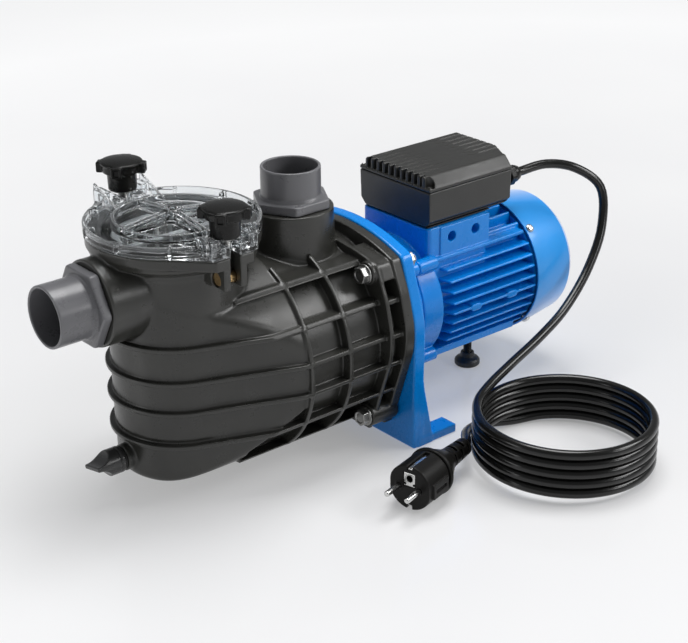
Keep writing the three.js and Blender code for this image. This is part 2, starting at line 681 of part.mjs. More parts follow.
function cowlSolid() {
  const w = cowl.wall;
  const shell = turnedX([
    [cowl.frontR - w, cowl.front], [cowl.frontR, cowl.front], [cowl.backR, cowl.back], [cowl.backR - 4, cowl.end - 1.4],
    [cowl.backR - 9, cowl.end], [8, cowl.end], [8, cowl.end - w], [cowl.backR - 9, cowl.end - w],
    [cowl.backR - 5, cowl.end - w - 1.2], [cowl.backR - w, cowl.back], [cowl.frontR - w, cowl.front],
  ], 0, shaftZ, large);
  const slots = [];
  for (let i = 0; i < 6; i += 1) {
    for (const r of [20, 36]) {
      const slot = new THREE.BoxGeometry(8, 0.6 * r, 6);
      slot.translate(cowl.end, 0, r);
      slot.rotateX(i * 60 * degrees);
      slot.translate(0, 0, shaftZ);
      slots.push(solid(slot));
    }
  }
  return cut(shell, ...slots, ...cowlScrewPlaces().map(([y, z]) => cowlScrew(y, z, 2.3, 2.3)));
}

function cowlScrewPlaces() {
  const places = [];
  for (const side of [-1, 1]) {
    for (const end of [-1, 1]) places.push([side * 0.7071, end * 0.7071]);
  }
  return places;
}

// A radial screw through the cowl into the rear shield; u and v are its outward direction.
function cowlScrew(u, v, shankR, headR) {
  const shank = new THREE.CylinderGeometry(shankR, shankR, 4.6, small);
  shank.translate(0, cowl.frontR - 1.7, 0);
  const head = new THREE.CylinderGeometry(headR * 0.8, headR, 2, small);
  head.translate(0, cowl.frontR + 1.2, 0);
  const place = (geometry) => {
    geometry.rotateX(Math.atan2(v, u));
    geometry.translate(178, 0, shaftZ);
    return solid(geometry);
  };
  return join(place(shank), place(head));
}

addPart('fan_cowl', cowlSolid(), 'blue');
cowlScrewPlaces().forEach(([u, v], i) => addPart(`cowl_screw_${i + 1}`, cowlScrew(u, v, 2, 4), 'steel'));

// ---------------------------------------------------------------- adjustable foot

const padProfile = [
  [0, 0], [foot.padR - 1, 0], [foot.padR, 1.5], [foot.padR, 4.5], [foot.padR - 1.5, 6.5], [7, 8], [6, 13], [0, 13],
];
addPart('foot_pad', cut(turnedZ(padProfile, foot.x, 0, round), rodZ(5, 14, foot.stemR + gap, foot.x, 0)), 'rubber');
addPart('foot_stem', rodZ(5 + gap, foot.stemTop, foot.stemR, foot.x, 0), 'darkPlastic');

// ---------------------------------------------------------------- terminal box

// Plan outline of the box, with a stepped corner beside the cable gland.
function boxOutline(inset) {
  return polygon([
    [box.x0 + inset, -box.halfY + inset], [boxStep.x - inset, -box.halfY + inset],
    [boxStep.x - inset, boxStep.y0 + inset / 2], [box.x1 - inset, boxStep.y1 + inset / 2],
    [box.x1 - inset, box.halfY - inset], [box.x0 + inset, box.halfY - inset],
  ]);
}

const glandHole = rodX(140, 190, 6 + gap, gland.y, gland.z, small);
const trayHollow = prismZ(boxOutline(box.wall), box.bottom + 2.5, box.split + 1);
const wireHole = block(75, 105, -15, 15, 160, 180);
addPart('terminal_box', cut(prismZ(boxOutline(1), box.bottom, box.split), trayHollow, wireHole, glandHole), 'darkPlastic');

function boxLidSolid() {
  const skirt = prismZ(boxOutline(0), box.split + gap, 209);
  const crown = prismZ(boxOutline(2.5), 208, 213.5);
  const plate = prismZ(boxOutline(6), 213, box.top);
  const hollow = prismZ(boxOutline(8), box.split - 1, box.top - 3);
  return cut(join(skirt, crown, plate), hollow);
}

addPart('terminal_box_lid', boxLidSolid(), 'darkPlastic');
addPart('terminal_gasket', cut(
  block(pedestal.x0, pedestal.x1 + 1, -pedestal.halfY - 0.5, pedestal.halfY + 0.5, pedestal.top + gap, box.bottom - gap),
  block(72, 108, -18, 18, 160, 180),
), 'rubber');
addPart('capacitor', rodX(92, 144, 16, 22, 192.5, round), 'whitePlastic');
addPart('terminal_block', join(
  block(60, 71, -22, 22, box.bottom + 2.5 + gap, 186),
  ...[-15, 0, 15].map((y) => rodZ(180, 194, 2.5, 65.5, y, small)),
), 'whitePlastic');
addPart('cable_gland', cut(
  join(rodX(gland.x0, 168, 6, gland.y, gland.z, small), hexX(166, 173, 9.5, gland.y, gland.z),
    rodX(172, gland.x1, 8, gland.y, gland.z, 20, 6.5)),
  rodX(gland.x0 - 1, gland.x1 + 1, cable.r + 0.8, gland.y, gland.z, small),
), 'darkPlastic');

// ---------------------------------------------------------------- power cable and plug

const plugDirection = new THREE.Vector3(Math.cos(plug.yaw * degrees), Math.sin(plug.yaw * degrees), 0);
const alongPlug = (back) => new THREE.Vector3(plug.x, plug.y, plug.z).addScaledVector(plugDirection, -back);

// Route of the cable: out of the gland, down in a loop, round the coil, and into the plug.
function cablePath() {
  const points = [
    [146, gland.y, gland.z], [165, gland.y, gland.z], [184, gland.y, gland.z], [211, -31, 193], [234, -45, 188],
    [254, -60, 169], [248, -70, 135], [221, -80, 103], [181, -90, 77], [139, -100, 65], [92, -110, 56], [57, -119, 50],
  ].map(([x, y, z]) => new THREE.Vector3(x, y, z));
  const perTurn = 16;
  const steps = Math.round(cable.turns * perTurn);
  const bottom = cable.r + gap;
  for (let i = 0; i <= steps; i += 1) {
    const angle = (125 + 360 * i / perTurn) * degrees;
    const z = bottom + (steps - i) / perTurn * cable.pitch;
    points.push(new THREE.Vector3(
      cable.coilX + cable.coilR * Math.cos(angle), cable.coilY + cable.coilR * Math.sin(angle), z));
  }
  points.push(new THREE.Vector3(62, -109, 8), new THREE.Vector3(30, -121, 16));
  points.push(alongPlug(85), alongPlug(62), alongPlug(45));
  return new THREE.CatmullRomCurve3(points, false, 'centripetal');
}

function cableSolid() {
  const section = new THREE.Shape();
  section.absarc(0, 0, cable.r, 0, 2 * Math.PI, false);
  return solid(new THREE.ExtrudeGeometry(section, { steps: 120, curveSegments: 3, extrudePath: cablePath() }));
}

addPart('power_cable', cableSolid(), 'rubber');

// Places a piece built along +X, with the plug's face at x = 0, onto the plug.
function onPlug(geometry) {
  geometry.rotateZ(plug.yaw * degrees);
  geometry.translate(plug.x, plug.y, plug.z);
  return solid(geometry);
}

function plugTurned(profile, sides = round) {
  const geometry = turned(profile, sides);
  geometry.rotateZ(-Math.PI / 2);
  return onPlug(geometry);
}

function plugRod(x0, x1, r, y, z, sides = small) {
  const geometry = new THREE.CylinderGeometry(r, r, x1 - x0, sides);
  geometry.rotateZ(-Math.PI / 2);
  geometry.translate((x0 + x1) / 2, y, z);
  return onPlug(geometry);
}

function plugBlock(x0, x1, width, z0, z1) {
  const geometry = new THREE.BoxGeometry(x1 - x0, width, z1 - z0);
  geometry.translate((x0 + x1) / 2, 0, (z0 + z1) / 2);
  return onPlug(geometry);
}

const pinY = 9.5;
const plugBody = plugTurned([
  [0, -84], [7.4, -84], [8, -82], [9, -56], [13, -50], [16, -42], [17, -36], [plug.flangeR, -34],
  [plug.flangeR, -30], [plug.r, -28], [plug.r, -1], [plug.r - 1, 0], [0, 0],
]);
const plugHoles = [
  plugRod(-90, -43, cable.r + 1.4, 0, 0, round),
  plugRod(-10, 1, plug.pinR + gap, pinY, 0),
  plugRod(-10, 1, plug.pinR + gap, -pinY, 0),
  plugRod(-16, 1, 4, 0, 8.5),
  plugBlock(-16.4, -12.6, 9.4, -20, 20),
  plugBlock(-27.4, 1, 9.4, 16.9, 20),
  plugBlock(-27.4, 1, 9.4, -20, -16.9),
];
addPart('plug_body', cut(plugBody, ...plugHoles), 'rubber');
addPart('plug_pin_left', plugRod(-9.5, plug.pinOut, plug.pinR, -pinY, 0), 'steel');
addPart('plug_pin_right', plugRod(-9.5, plug.pinOut, plug.pinR, pinY, 0), 'steel');

// The earth strap is one piece: a bridge inside the plug, a socket on the face and a spring arm on each side.
addPart('earth_strap', cut(
  join(plugRod(-15.5, -0.5, 3.7, 0, 8.5), plugBlock(-16, -13, 8.6, -18.4, 18.4),
    plugBlock(-27, -1, 8.6, 17.3, 18.4), plugBlock(-27, -1, 8.6, -18.4, -17.3)),
  plugRod(-12, 1, 2.6, 0, 8.5),
), 'steel');

export default pump;
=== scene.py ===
"""The looks of the pool pump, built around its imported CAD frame.

Shapes are given in millimetres, in the CAD's own frame, and become metres when a mesh is made.
Moulded and cast pieces are distance fields with rounded edges, which are turned into meshes.
Turned pieces are lathed, threaded rods and the cable are swept tubes.
"""
import functools
import math

import bmesh
import bpy
import numpy as np
import openvdb
from mathutils import Matrix, Vector


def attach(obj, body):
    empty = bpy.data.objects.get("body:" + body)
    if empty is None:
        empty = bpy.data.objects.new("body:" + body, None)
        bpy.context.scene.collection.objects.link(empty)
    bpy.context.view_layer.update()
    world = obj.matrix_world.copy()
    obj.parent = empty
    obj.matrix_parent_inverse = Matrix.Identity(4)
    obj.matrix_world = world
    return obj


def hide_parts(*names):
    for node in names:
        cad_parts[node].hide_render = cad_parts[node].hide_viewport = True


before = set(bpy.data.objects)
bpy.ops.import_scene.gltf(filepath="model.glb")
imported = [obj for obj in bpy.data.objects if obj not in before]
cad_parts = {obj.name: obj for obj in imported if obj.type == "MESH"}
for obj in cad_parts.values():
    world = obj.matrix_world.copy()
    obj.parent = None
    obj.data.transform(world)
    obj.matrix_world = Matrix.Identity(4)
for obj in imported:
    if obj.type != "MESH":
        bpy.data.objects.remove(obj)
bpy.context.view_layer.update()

MM = 0.001
COARSE = 1.0      # grids are coarser while trying things out

# ---------------- driving dimensions, as in the CAD

SHAFT_Z = 97.5
CASING_BACK = -6.3
VOLUTE_FRONT = -112
VOLUTE_R = 80
STRAINER_X = -177
POT_R = 55                               # the strainer's neck, and the round nose of its body
RIM_TOP = 219.5
BODY_R = 86.5                            # the strainer body's sides end on this circle round the shaft
RIB_R = 89                               # its ribs and the volute's end on this one
RIB_HALF = 1.9                           # half of a rib's thickness
RIB_OFFSETS = (13, 42, 70.5)             # heights of the level ribs above and below the shaft

SUCTION_Z = 177
DISCHARGE_X = -60
PIPE_R = 25
DRAIN_Z = 37

BRACKET_FRONT = -6
BRACKET_BACK = 6
SIDE_BEND_R = 60
PLATE_ARCH_R = 191.5
FRONT_ARCH_R = 299                       # the flange's front frame arches less than its rear plate

THREAD_R = 4                             # every threaded rod is 8 mm thick
THREAD_PITCH = 1.25
BOLT_HOLE_R = 4.4
HEX_HALF = 6.5                           # half the width across flats of bolt heads and nuts
BOLT_PLACES = [(side * 66, SHAFT_Z + end * 65) for side in (-1, 1) for end in (-1, 1)]

SWING_X = STRAINER_X
SWING_Y = 70.3
SWING_Z = 200
SLOT_HALF = 4.5
LUG_HALF = 17
LUG_OUT = 82.3
LID_LOW = 220
LID_R = 69
RING_RS = (44.8, 47.6)                   # inner and outer radius of the ring raised on the lid
KNOB_Z = 233

DRUM_R = 57.4                            # front shield and the front ring of the housing
FIN_R = 61.7
HOUSING_END = 172
SHIELD_BOSS_Y = 45
SHIELD_BOSS_R = 6.5
SHIELD_BOSS_Z = (140.8, 54.2)
FOOT_X = 147
BOX_LOW = 172.6
BOX_TOP = 217.5
GLAND_Y = -24
GLAND_Z = 190

# ---------------- distance fields


class Grid:
    """Evenly spaced sample points between two corners."""

    def __init__(self, low, high, step):
        self.step = step * COARSE
        self.low = np.array(low, float) - 2.5 * self.step
        counts = np.ceil((np.array(high, float) - self.low) / self.step + 2.5).astype(int)
        axes = [(self.low[i] + self.step * np.arange(counts[i])).astype(np.float32) for i in range(3)]
        self.x = axes[0][:, None, None]
        self.y = axes[1][None, :, None]
        self.z = axes[2][None, None, :]
        self.shape = tuple(counts)


def join(a, b, blend=0.0):
    """The union of two fields, with a fillet about blend wide."""
    if blend <= 0:
        return np.minimum(a, b)
    reach = np.maximum(blend - np.abs(a - b), 0)
    return np.minimum(a, b) - reach * reach / (4 * blend)


def meet(a, b, blend=0.0):
    return -join(-a, -b, blend)


def cut(a, b, blend=0.0):
    return meet(a, -b, blend)


def union(fields):
    """The plain union of several fields."""
    return functools.reduce(np.minimum, fields)


def inside(values, low, high):
    """Signed distance along one axis to the stretch between low and high."""
    return np.abs(values - (low + high) / 2) - (high - low) / 2


def corner(a, b, edge):
    """Two distances at right angles, met with a round edge."""
    a = a + edge
    b = b + edge
    return np.hypot(np.maximum(a, 0), np.maximum(b, 0)) + np.minimum(np.maximum(a, b), 0) - edge


def overlap(*fields):
    """The plain overlap of several fields, with sharp edges."""
    return functools.reduce(np.maximum, fields)


def block(a, b, c, edge):
    """A plan, given by two distances, met with a third one by a round edge."""
    return corner(np.maximum(a, b), c, edge)


def box(g, x0, x1, y0, y1, z0, z1, edge=0.8):
    """A block with rounded edges."""
    a = inside(g.x, x0, x1) + edge
    b = inside(g.y, y0, y1) + edge
    c = inside(g.z, z0, z1) + edge
    outer = np.sqrt(np.maximum(a, 0) ** 2 + np.maximum(b, 0) ** 2 + np.maximum(c, 0) ** 2)
    return outer + np.minimum(overlap(a, b, c), 0) - edge


def rod_x(g, x0, x1, r, y=0.0, z=SHAFT_Z, edge=0.8):
    return corner(np.hypot(g.y - y, g.z - z) - r, inside(g.x, x0, x1), edge)


def rod_z(g, z0, z1, r, x=0.0, edge=0.8, end_r=None):
    """An upright rod, tapering to end_r where that is given."""
    radius = r if end_r is None else r + (end_r - r) * np.clip((g.z - z0) / (z1 - z0), 0, 1)
    return corner(np.hypot(g.x - x, g.y) - radius, inside(g.z, z0, z1), edge)


def outline(points, u, v):
    """Signed distance to a closed outline in a plane."""
    nearest = np.full(np.broadcast(u, v).shape, 1e9, np.float32)
    winding = np.zeros(nearest.shape, bool)
    for (u0, v0), (u1, v1) in zip(points, points[1:] + points[:1]):
        du, dv = u1 - u0, v1 - v0
        t = np.clip(((u - u0) * du + (v - v0) * dv) / (du * du + dv * dv), 0, 1)
        nearest = np.minimum(nearest, np.hypot(u - u0 - t * du, v - v0 - t * dv))
        crosses = (v0 > v) != (v1 > v)
        if dv:
            winding ^= crosses & (u < u0 + (v - v0) * du / dv)
    return np.where(winding, -nearest, nearest)


def from_shaft(g):
    return np.hypot(g.y, g.z - SHAFT_Z)


def from_lid(g):
    return np.hypot(g.x - STRAINER_X, g.y)


def slab_x(g, plan, x0, x1, edge):
    """A shape in the (y, z) plane, extruded along X with round edges."""
    return corner(plan, inside(g.x, x0, x1), edge)


def slab_z(g, plan, z0, z1, edge):
    """A shape in the (x, y) plane, extruded upward with round edges."""
    return corner(plan, inside(g.z, z0, z1), edge)


def plate_x(g, points, x0, x1, edge):
    return slab_x(g, outline(points, g.y, g.z), x0, x1, edge)


def hexagon(u, v, flat_r):
    """Signed distance to a hexagon with corners towards +u and -u."""
    a = np.abs(v) - flat_r
    for angle in (30, 150):
        s, c = math.sin(math.radians(angle)), math.cos(math.radians(angle))
        a = np.maximum(a, np.abs(u * c + v * s) - flat_r)
    return a


# ---------------- meshes


def make_piece(name, verts, faces, look, node=None, body="pump", smooth=35):
    """Makes an object from points in millimetres, with all its faces turned outward."""
    mesh = bpy.data.meshes.new(name)
    mesh.from_pydata((np.asarray(verts, float) * MM).tolist(), [], faces)
    piece = finish_piece(name, mesh, look, node, body, smooth)
    bm = bmesh.new()
    bm.from_mesh(mesh)
    bmesh.ops.recalc_face_normals(bm, faces=bm.faces)
    bm.to_mesh(mesh)
    bm.free()
    return piece


def finish_piece(name, mesh, look, node, body, smooth):
    """Puts a mesh on its body, with its look and in place of its CAD node."""
    mesh.validate()
    piece = bpy.data.objects.new(name, mesh)
    bpy.context.scene.collection.objects.link(piece)
    mesh.materials.append(LOOKS[look])
    mesh.shade_smooth()
    if smooth < 180:
        mesh.set_sharp_from_angle(angle=math.radians(smooth))
    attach(piece, body)
    if node:
        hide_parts(node)
    return piece


def make_field_piece(name, g, field, look, node=None, body="pump", place=None):
    """Meshes the zero surface of a field."""
    reach = 3 * g.step
    values = np.empty(g.shape, np.float32)
    values[:] = np.clip(field, -reach, reach)
    volume = openvdb.FloatGrid(reach)
    volume.copyFromArray(values)
    points, triangles, quads = volume.convertToPolygons(0.0, 0.0)
    points = points.astype(float) * g.step + g.low
    if place is not None:
        points = points @ place[0].T + place[1]
    mesh = bpy.data.meshes.new(name)
    mesh.vertices.add(len(points))
    mesh.vertices.foreach_set("co", (points * MM).astype(np.float32).ravel())
    loops = quads.astype(np.int32)
    mesh.loops.add(loops.size)
    mesh.loops.foreach_set("vertex_index", loops.ravel())
    mesh.polygons.add(len(loops))
    mesh.polygons.foreach_set("loop_start", np.arange(0, loops.size, 4, dtype=np.int32))
    mesh.update(calc_edges=True)
    finish_piece(name, mesh, look, node, body, 180)


def rounded(profile, segments=5):
    """Profile points are (radius, distance, fillet); each fillet becomes an arc."""
    points = []
    count = len(profile)
    for i, (r, d, fillet) in enumerate(profile):
        here = Vector((r, d))
        if fillet <= 0 or i in (0, count - 1):
            points.append((r, d))
            continue
        before = (Vector(profile[i - 1][:2]) - here)
        after = (Vector(profile[i + 1][:2]) - here)
        half = before.angle(after) / 2
        back = min(fillet / math.tan(half), before.length * 0.49, after.length * 0.49)
        start = here + before.normalized() * back
        end = here + after.normalized() * back
        for k in range(segments + 1):
            t = k / segments
            p = start * (1 - t) ** 2 + here * 2 * t * (1 - t) + end * t ** 2
            points.append((p.x, p.y))
    return points


def axis_frame(axis, centre):
    """Columns carry (across, across, along) onto the frame's axes."""
    along = Vector(axis).normalized()
    side = Vector((0, 1, 0)) if abs(along.y) < 0.9 else Vector((1, 0, 0))
    across = side.cross(along).normalized()
    turn = np.array([across, along.cross(across), along]).T
    return turn, np.array(centre, float)


def lathe(name, profile, axis, centre, look, node=None, body="pump", sides=96):
    """Turns a profile of (radius, distance) points about an axis."""
    turn, origin = axis_frame(axis, centre)
    verts = []
    rings = []
    for r, d in profile:
        count = 1 if r < 1e-6 else sides
        rings.append([len(verts) + k for k in range(count)])
        for k in range(count):
            angle = 2 * math.pi * k / sides
            verts.append((r * math.cos(angle), r * math.sin(angle), d))
    faces = []
    for a, b in zip(rings, rings[1:]):
        for k in range(sides):
            n = (k + 1) % sides
            if len(a) == 1:
                faces.append((a[0], b[n], b[k]))
            elif len(b) == 1:
                faces.append((a[k], a[n], b[0]))
            else:
                faces.append((a[k], a[n], b[n], b[k]))
    make_piece(name, np.array(verts) @ turn.T + origin, faces, look, node, body)


def tube_faces(rings, sides):
    """Faces of a tube through rings of points, with a cap at each end."""
    faces = []
    for start in range(0, (rings - 1) * sides, sides):
        for k in range(sides):
            n = (k + 1) % sides
            faces.append((start + k, start + n, start + sides + n, start + sides + k))
    faces.append(tuple(range(sides)))
    faces.append(tuple((rings - 1) * sides + k for k in range(sides)))
    return faces


def threaded_rod(name, low, high, depth, axis, centre, look, node, body="pump"):
    """A rod with a helical thread, chamfered at both ends."""
    sides, per_pitch = 28, 6
    turn, origin = axis_frame(axis, centre)
    steps = int((high - low) / THREAD_PITCH * per_pitch)
    verts = []
    for i in range(steps + 1):
        d = low + (high - low) * i / steps
        chamfer = max(0.0, 0.9 - min(d - low, high - d)) * 0.8
        for k in range(sides):
            phase = (d / THREAD_PITCH - k / sides) % 1
            radius = THREAD_R - depth * abs(2 * phase - 1) - chamfer
            angle = 2 * math.pi * k / sides
            verts.append((radius * math.cos(angle), radius * math.sin(angle), d))
    points = np.array(verts) @ turn.T + origin
    make_piece(name, points, tube_faces(steps + 1, sides), look, node, body, 50)


# ---------------- materials


class Nodes:
    """A small helper for wiring the nodes of a material or a world."""

    def __init__(self, owner):
        owner.use_nodes = True
        self.owner = owner
        self.tree = owner.node_tree
        self.shader = self.tree.nodes.get("Principled BSDF")
        self.coordinates = self.add("ShaderNodeTexCoord").outputs

    def add(self, kind, **values):
        node = self.tree.nodes.new(kind)
        for key, value in values.items():
            if key in node.inputs.keys():
                node.inputs[key].default_value = value
            else:
                setattr(node, key, value)
        return node

    def link(self, a, b):
        self.tree.links.new(a, b)

    def give(self, socket, value):
        """Sets one of the shader's inputs, to a number or to another node's output."""
        if hasattr(value, "is_linked"):
            self.link(value, self.shader.inputs[socket])
        else:
            self.shader.inputs[socket].default_value = value

    def noise(self, scale, detail=4.0, roughness=0.5, stretch=(1, 1, 1)):
        node = self.add("ShaderNodeTexNoise", Scale=scale, Detail=detail, Roughness=roughness)
        mapping = self.add("ShaderNodeMapping", Scale=stretch)
        self.link(self.coordinates["Object"], mapping.inputs["Vector"])
        self.link(mapping.outputs["Vector"], node.inputs["Vector"])
        return node.outputs["Fac"]

    def ramp(self, source, low, high, out_low=0.0, out_high=1.0):
        node = self.add("ShaderNodeMapRange")
        names = ("From Min", "From Max", "To Min", "To Max")
        for name, value in zip(names, (low, high, out_low, out_high)):
            node.inputs[name].default_value = value
        self.link(source, node.inputs["Value"])
        return node.outputs["Result"]

    def mix(self, factor, a, b):
        node = self.add("ShaderNodeMix", data_type="RGBA")
        self.link(factor, node.inputs["Factor"])
        for value, socket in ((a, node.inputs[6]), (b, node.inputs[7])):
            if hasattr(value, "is_linked"):
                self.link(value, socket)
            else:
                socket.default_value = (*value, 1)
        return node.outputs[2]

    def edges(self, low=0.51, high=0.56, out_low=0.0, out_high=1.0):
        """A value that changes on sharp outward edges."""
        pointiness = self.add("ShaderNodeNewGeometry").outputs["Pointiness"]
        return self.ramp(pointiness, low, high, out_low, out_high)

    def bump(self, source, strength, distance):
        node = self.add("ShaderNodeBump", Strength=strength, Distance=distance)
        self.link(source, node.inputs["Height"])
        return node.outputs["Normal"]


def tinted(color, factor):
    return tuple(min(1.0, c * factor) for c in color)


def moulded(name, color, rough, grain=900, depth=0.00006, variety=0.12, edge_lightening=0.25, coat=0.0, gloss=0.5,
            rim=None):
    """Moulded plastic, rubber or paint: fine grain, slow changes of tone, and lighter edges.

    A look given a rim colour is mixed towards it where the surface turns away from the eye: a painted sheen
    along the outline.
    """
    m = Nodes(bpy.data.materials.new(name))
    tone = m.mix(m.ramp(m.noise(18, 3), 0.35, 0.65), tinted(color, 1 - variety), tinted(color, 1 + variety))
    light = tuple(min(1.0, c * 1.6 + 0.03) for c in color)
    # lighter towards sharp outward edges
    tone = m.mix(m.edges(out_high=edge_lightening), tone, light)
    # painted sheen: paler where the surface turns away from the eye
    if rim:
        facing = m.add("ShaderNodeLayerWeight", Blend=0.5).outputs["Facing"]
        tone = m.mix(m.ramp(facing, 0.55, 1.0), tone, rim)
    m.give("Base Color", tone)
    m.give("Roughness", m.ramp(m.noise(60, 5, 0.65), 0.3, 0.7, rough - 0.05, rough + 0.06))
    m.give("Normal", m.bump(m.noise(grain, 6, 0.6), 0.35, depth))
    m.give("Coat Weight", coat)
    m.give("Coat Roughness", 0.12)
    m.give("Specular IOR Level", gloss)
    return m.owner


def metal(name, color, rough, lines=(1, 1, 1), stained=None):
    """Plated or bright metal with fine working marks along one direction."""
    m = Nodes(bpy.data.materials.new(name))
    marks = m.noise(120, 4, 0.6, lines)
    m.give("Base Color", m.mix(m.ramp(marks, 0.3, 0.75), color, stained or tinted(color, 0.72)))
    m.give("Roughness", m.ramp(m.noise(260, 5, 0.6, lines), 0.25, 0.75, rough - 0.07, rough + 0.1))
    m.give("Normal", m.bump(marks, 0.1, 0.00002))
    m.give("Metallic", 1.0)
    return m.owner


def clear_plastic():
    """Clear moulding whose edges are made milky white, a painted highlight where light catches them."""
    m = Nodes(bpy.data.materials.new("clear_polycarbonate"))
    m.give("Base Color", m.mix(m.ramp(m.noise(25, 3), 0.3, 0.7), (0.93, 0.95, 0.96), (0.86, 0.89, 0.91)))
    m.give("Roughness", m.ramp(m.noise(150, 5), 0.3, 0.7, 0.0, 0.04))
    m.give("Normal", m.bump(m.noise(90, 2), 0.1, 0.00004))
    # less clear on sharp edges, so that they show white: a painted highlight
    m.give("Transmission Weight", m.edges(0.52, 0.6, 1.0, 0.35))
    m.give("IOR", 1.42)
    return m.owner


LOOKS = {
    "casing": moulded("casing_plastic", (0.026, 0.026, 0.023), 0.3),
    "dark_plastic": moulded("dark_plastic", (0.005, 0.005, 0.0045), 0.27, 1200, gloss=0.25),
    "box_plastic": moulded("box_plastic", (0.018, 0.018, 0.0165), 0.4, 1500, 0.00009),
    "grey_pvc": moulded("grey_pvc", (0.125, 0.125, 0.133), 0.3, 700, 0.00003, 0.05),
    "clear": clear_plastic(),
    "rubber": moulded("black_rubber", (0.012, 0.012, 0.012), 0.6, 1600, 0.00008),
    "foot_rubber": moulded("foot_rubber", (0.014, 0.014, 0.014), 0.45, 1500),
    "cable_rubber": moulded("cable_sheath", (0.0055, 0.0055, 0.005), 0.2, 500, 0.00004, edge_lightening=0.0,
                            gloss=0.42),
    "plug_rubber": moulded("plug_rubber", (0.0065, 0.0062, 0.0056), 0.4, 1400, gloss=0.15),
    "blue_paint": moulded("blue_paint", (0.0005, 0.215, 0.68), 0.27, 350, 0.00002, 0.04, 0.12, 0.12, 0.3),
    # the cowl's pale rim colour is a painted sheen along its outline
    "cowl_paint": moulded("cowl_paint", (0.012, 0.27, 0.72), 0.36, 420, 0.00002, 0.04, 0.1, 0.2,
                          rim=(0.5, 0.6, 0.85)),
    "zinc_steel": metal("zinc_steel", (0.42, 0.42, 0.41), 0.34),
    "nickel": metal("nickel", (0.62, 0.62, 0.61), 0.2),
    "lamination": metal("lamination", (0.36, 0.37, 0.39), 0.45, (20, 0.3, 0.3)),
    "copper": metal("copper_winding", (0.62, 0.28, 0.12), 0.35, (0.4, 8, 8)),
    "brass": metal("brass", (0.66, 0.46, 0.22), 0.3, stained=(0.38, 0.25, 0.12)),
    "white_plastic": moulded("white_plastic", (0.66, 0.64, 0.58), 0.4),
    "inner_plastic": moulded("inner_plastic", (0.05, 0.052, 0.055), 0.42),
    "drain_plastic": moulded("drain_plastic", (0.034, 0.034, 0.034), 0.24, 1000),
    "basket_plastic": moulded("basket_plastic", (0.6, 0.61, 0.62), 0.35),
    "ceramic": moulded("ceramic", (0.74, 0.7, 0.62), 0.25, 1800, 0.00002),
}

# ---------------- pump casing


def strainer_plan(g, nose_r):
    """A round nose about the strainer's axis whose straight sides flare towards the volute."""
    angle = math.radians(21.7)
    u = g.x - STRAINER_X
    v = np.abs(g.y)
    along = u * math.cos(angle) + v * math.sin(angle)
    across = v * math.cos(angle) - u * math.sin(angle)
    return np.where(along < 0, np.hypot(u, v), across) - nose_r


def arched_outline(arch_r, shoulder_y, shoulder_z, side, fillet):
    """An outline in the (y, z) plane: an arched top with rounded shoulders above two mirrored sides."""
    arch_z = shoulder_z - math.sqrt(arch_r ** 2 - shoulder_y ** 2)
    half = math.acos(shoulder_y / arch_r)
    steps = 16
    arch = []
    for k in range(steps + 1):
        angle = half + (math.pi - 2 * half) * k / steps
        rounding = fillet if k in (0, steps) else 0
        arch.append((arch_r * math.cos(angle), arch_z + arch_r * math.sin(angle), rounding))
    # the sides bend gently, down to a sharp lower end
    left = [(-y, z, SIDE_BEND_R if (y, z) != side[-1] else 0) for y, z in side]
    right = [(-y, z, bend) for y, z, bend in reversed(left)]
    return rounded(right + arch + left)


def flange_points(inset, arch_r=PLATE_ARCH_R):
    side = [(87.5, 142.4), (94, 116), (94, 94.5), (84.7, 68.4), (75.7, 41.5), (66, 18)]
    return arched_outline(arch_r, 75 - inset, 171.7 - inset, [(y - inset, z) for y, z in side], 7)


def casing_field(g):
    body = meet(strainer_plan(g, POT_R), from_shaft(g) - BODY_R, 4.5)
    body = meet(body, 20 - g.z, 9)
    body = meet(body, g.x + 110, 0)
    body = cut(body, lower_recess(g), 1.2)
    neck = rod_z(g, 60, 207, POT_R, STRAINER_X, edge=2)
    barrel = rod_x(g, VOLUTE_FRONT, CASING_BACK, VOLUTE_R, edge=1.5)
    solid = join(join(body, barrel, 1), neck, 2.5)
    rim_r = POT_R + 12 * np.clip((g.z - 199) / 8, 0, 1) ** 1.4 + 2 * np.clip((g.z - 208) / 4, 0, 1)
    rim = slab_z(g, from_lid(g) - rim_r, 196, RIM_TOP, 1.2)
    solid = join(solid, rim, 2)
    solid = join(solid, rod_x(g, -256.5, -205, 35, z=SUCTION_Z, edge=1.2), 2)
    solid = join(solid, rod_z(g, 150, 210.5, 36.5, DISCHARGE_X, edge=1.2, end_r=35), 3.5)
    solid = join(solid, rod_x(g, -238, -215, 11, z=DRAIN_Z, edge=0.8), 2)
    for band in (wrap_ribs(g), ring_ribs(g), long_ribs(g)):
        solid = join(solid, band, 1.2)
    solid = join(solid, flange(g), 1.2)
    solid = join(solid, forks(g), 1.2)
    return cut(solid, casing_hollows(g), 0.8)


def lower_recess(g):
    """The hollow under the strainer body's lower edge, above the lowest long rib."""
    under_edge = (g.z - 38.5 - 0.69 * (g.x + 160)) * 0.82
    return np.maximum(corner(81 - from_shaft(g), -158 - g.x, 1.5), np.maximum(under_edge, 27 - g.z))


def level_rib(g, plan, middle):
    return slab_z(g, plan, middle - RIB_HALF, middle + RIB_HALF, 0.7)


def wrap_ribs(g):
    """Bands that run round the strainer body and on to the volute."""
    plan = strainer_plan(g, 60)
    band = meet(meet(plan, from_shaft(g) - RIB_R, 1.5), g.x + 109, 0)
    return union(level_rib(g, band, SHAFT_Z + offset) for offset in (-42, -13, 13, 42))


def ring_ribs(g):
    """Two rings round the volute, open at the top between the ports."""
    rings = union(slab_x(g, from_shaft(g) - RIB_R, x - RIB_HALF, x + RIB_HALF, 0.7)
                  for x in (-110, -70))
    top = corner(inside(g.y, -36, 36), 165 - g.z, 1)
    return cut(rings, top, 0)


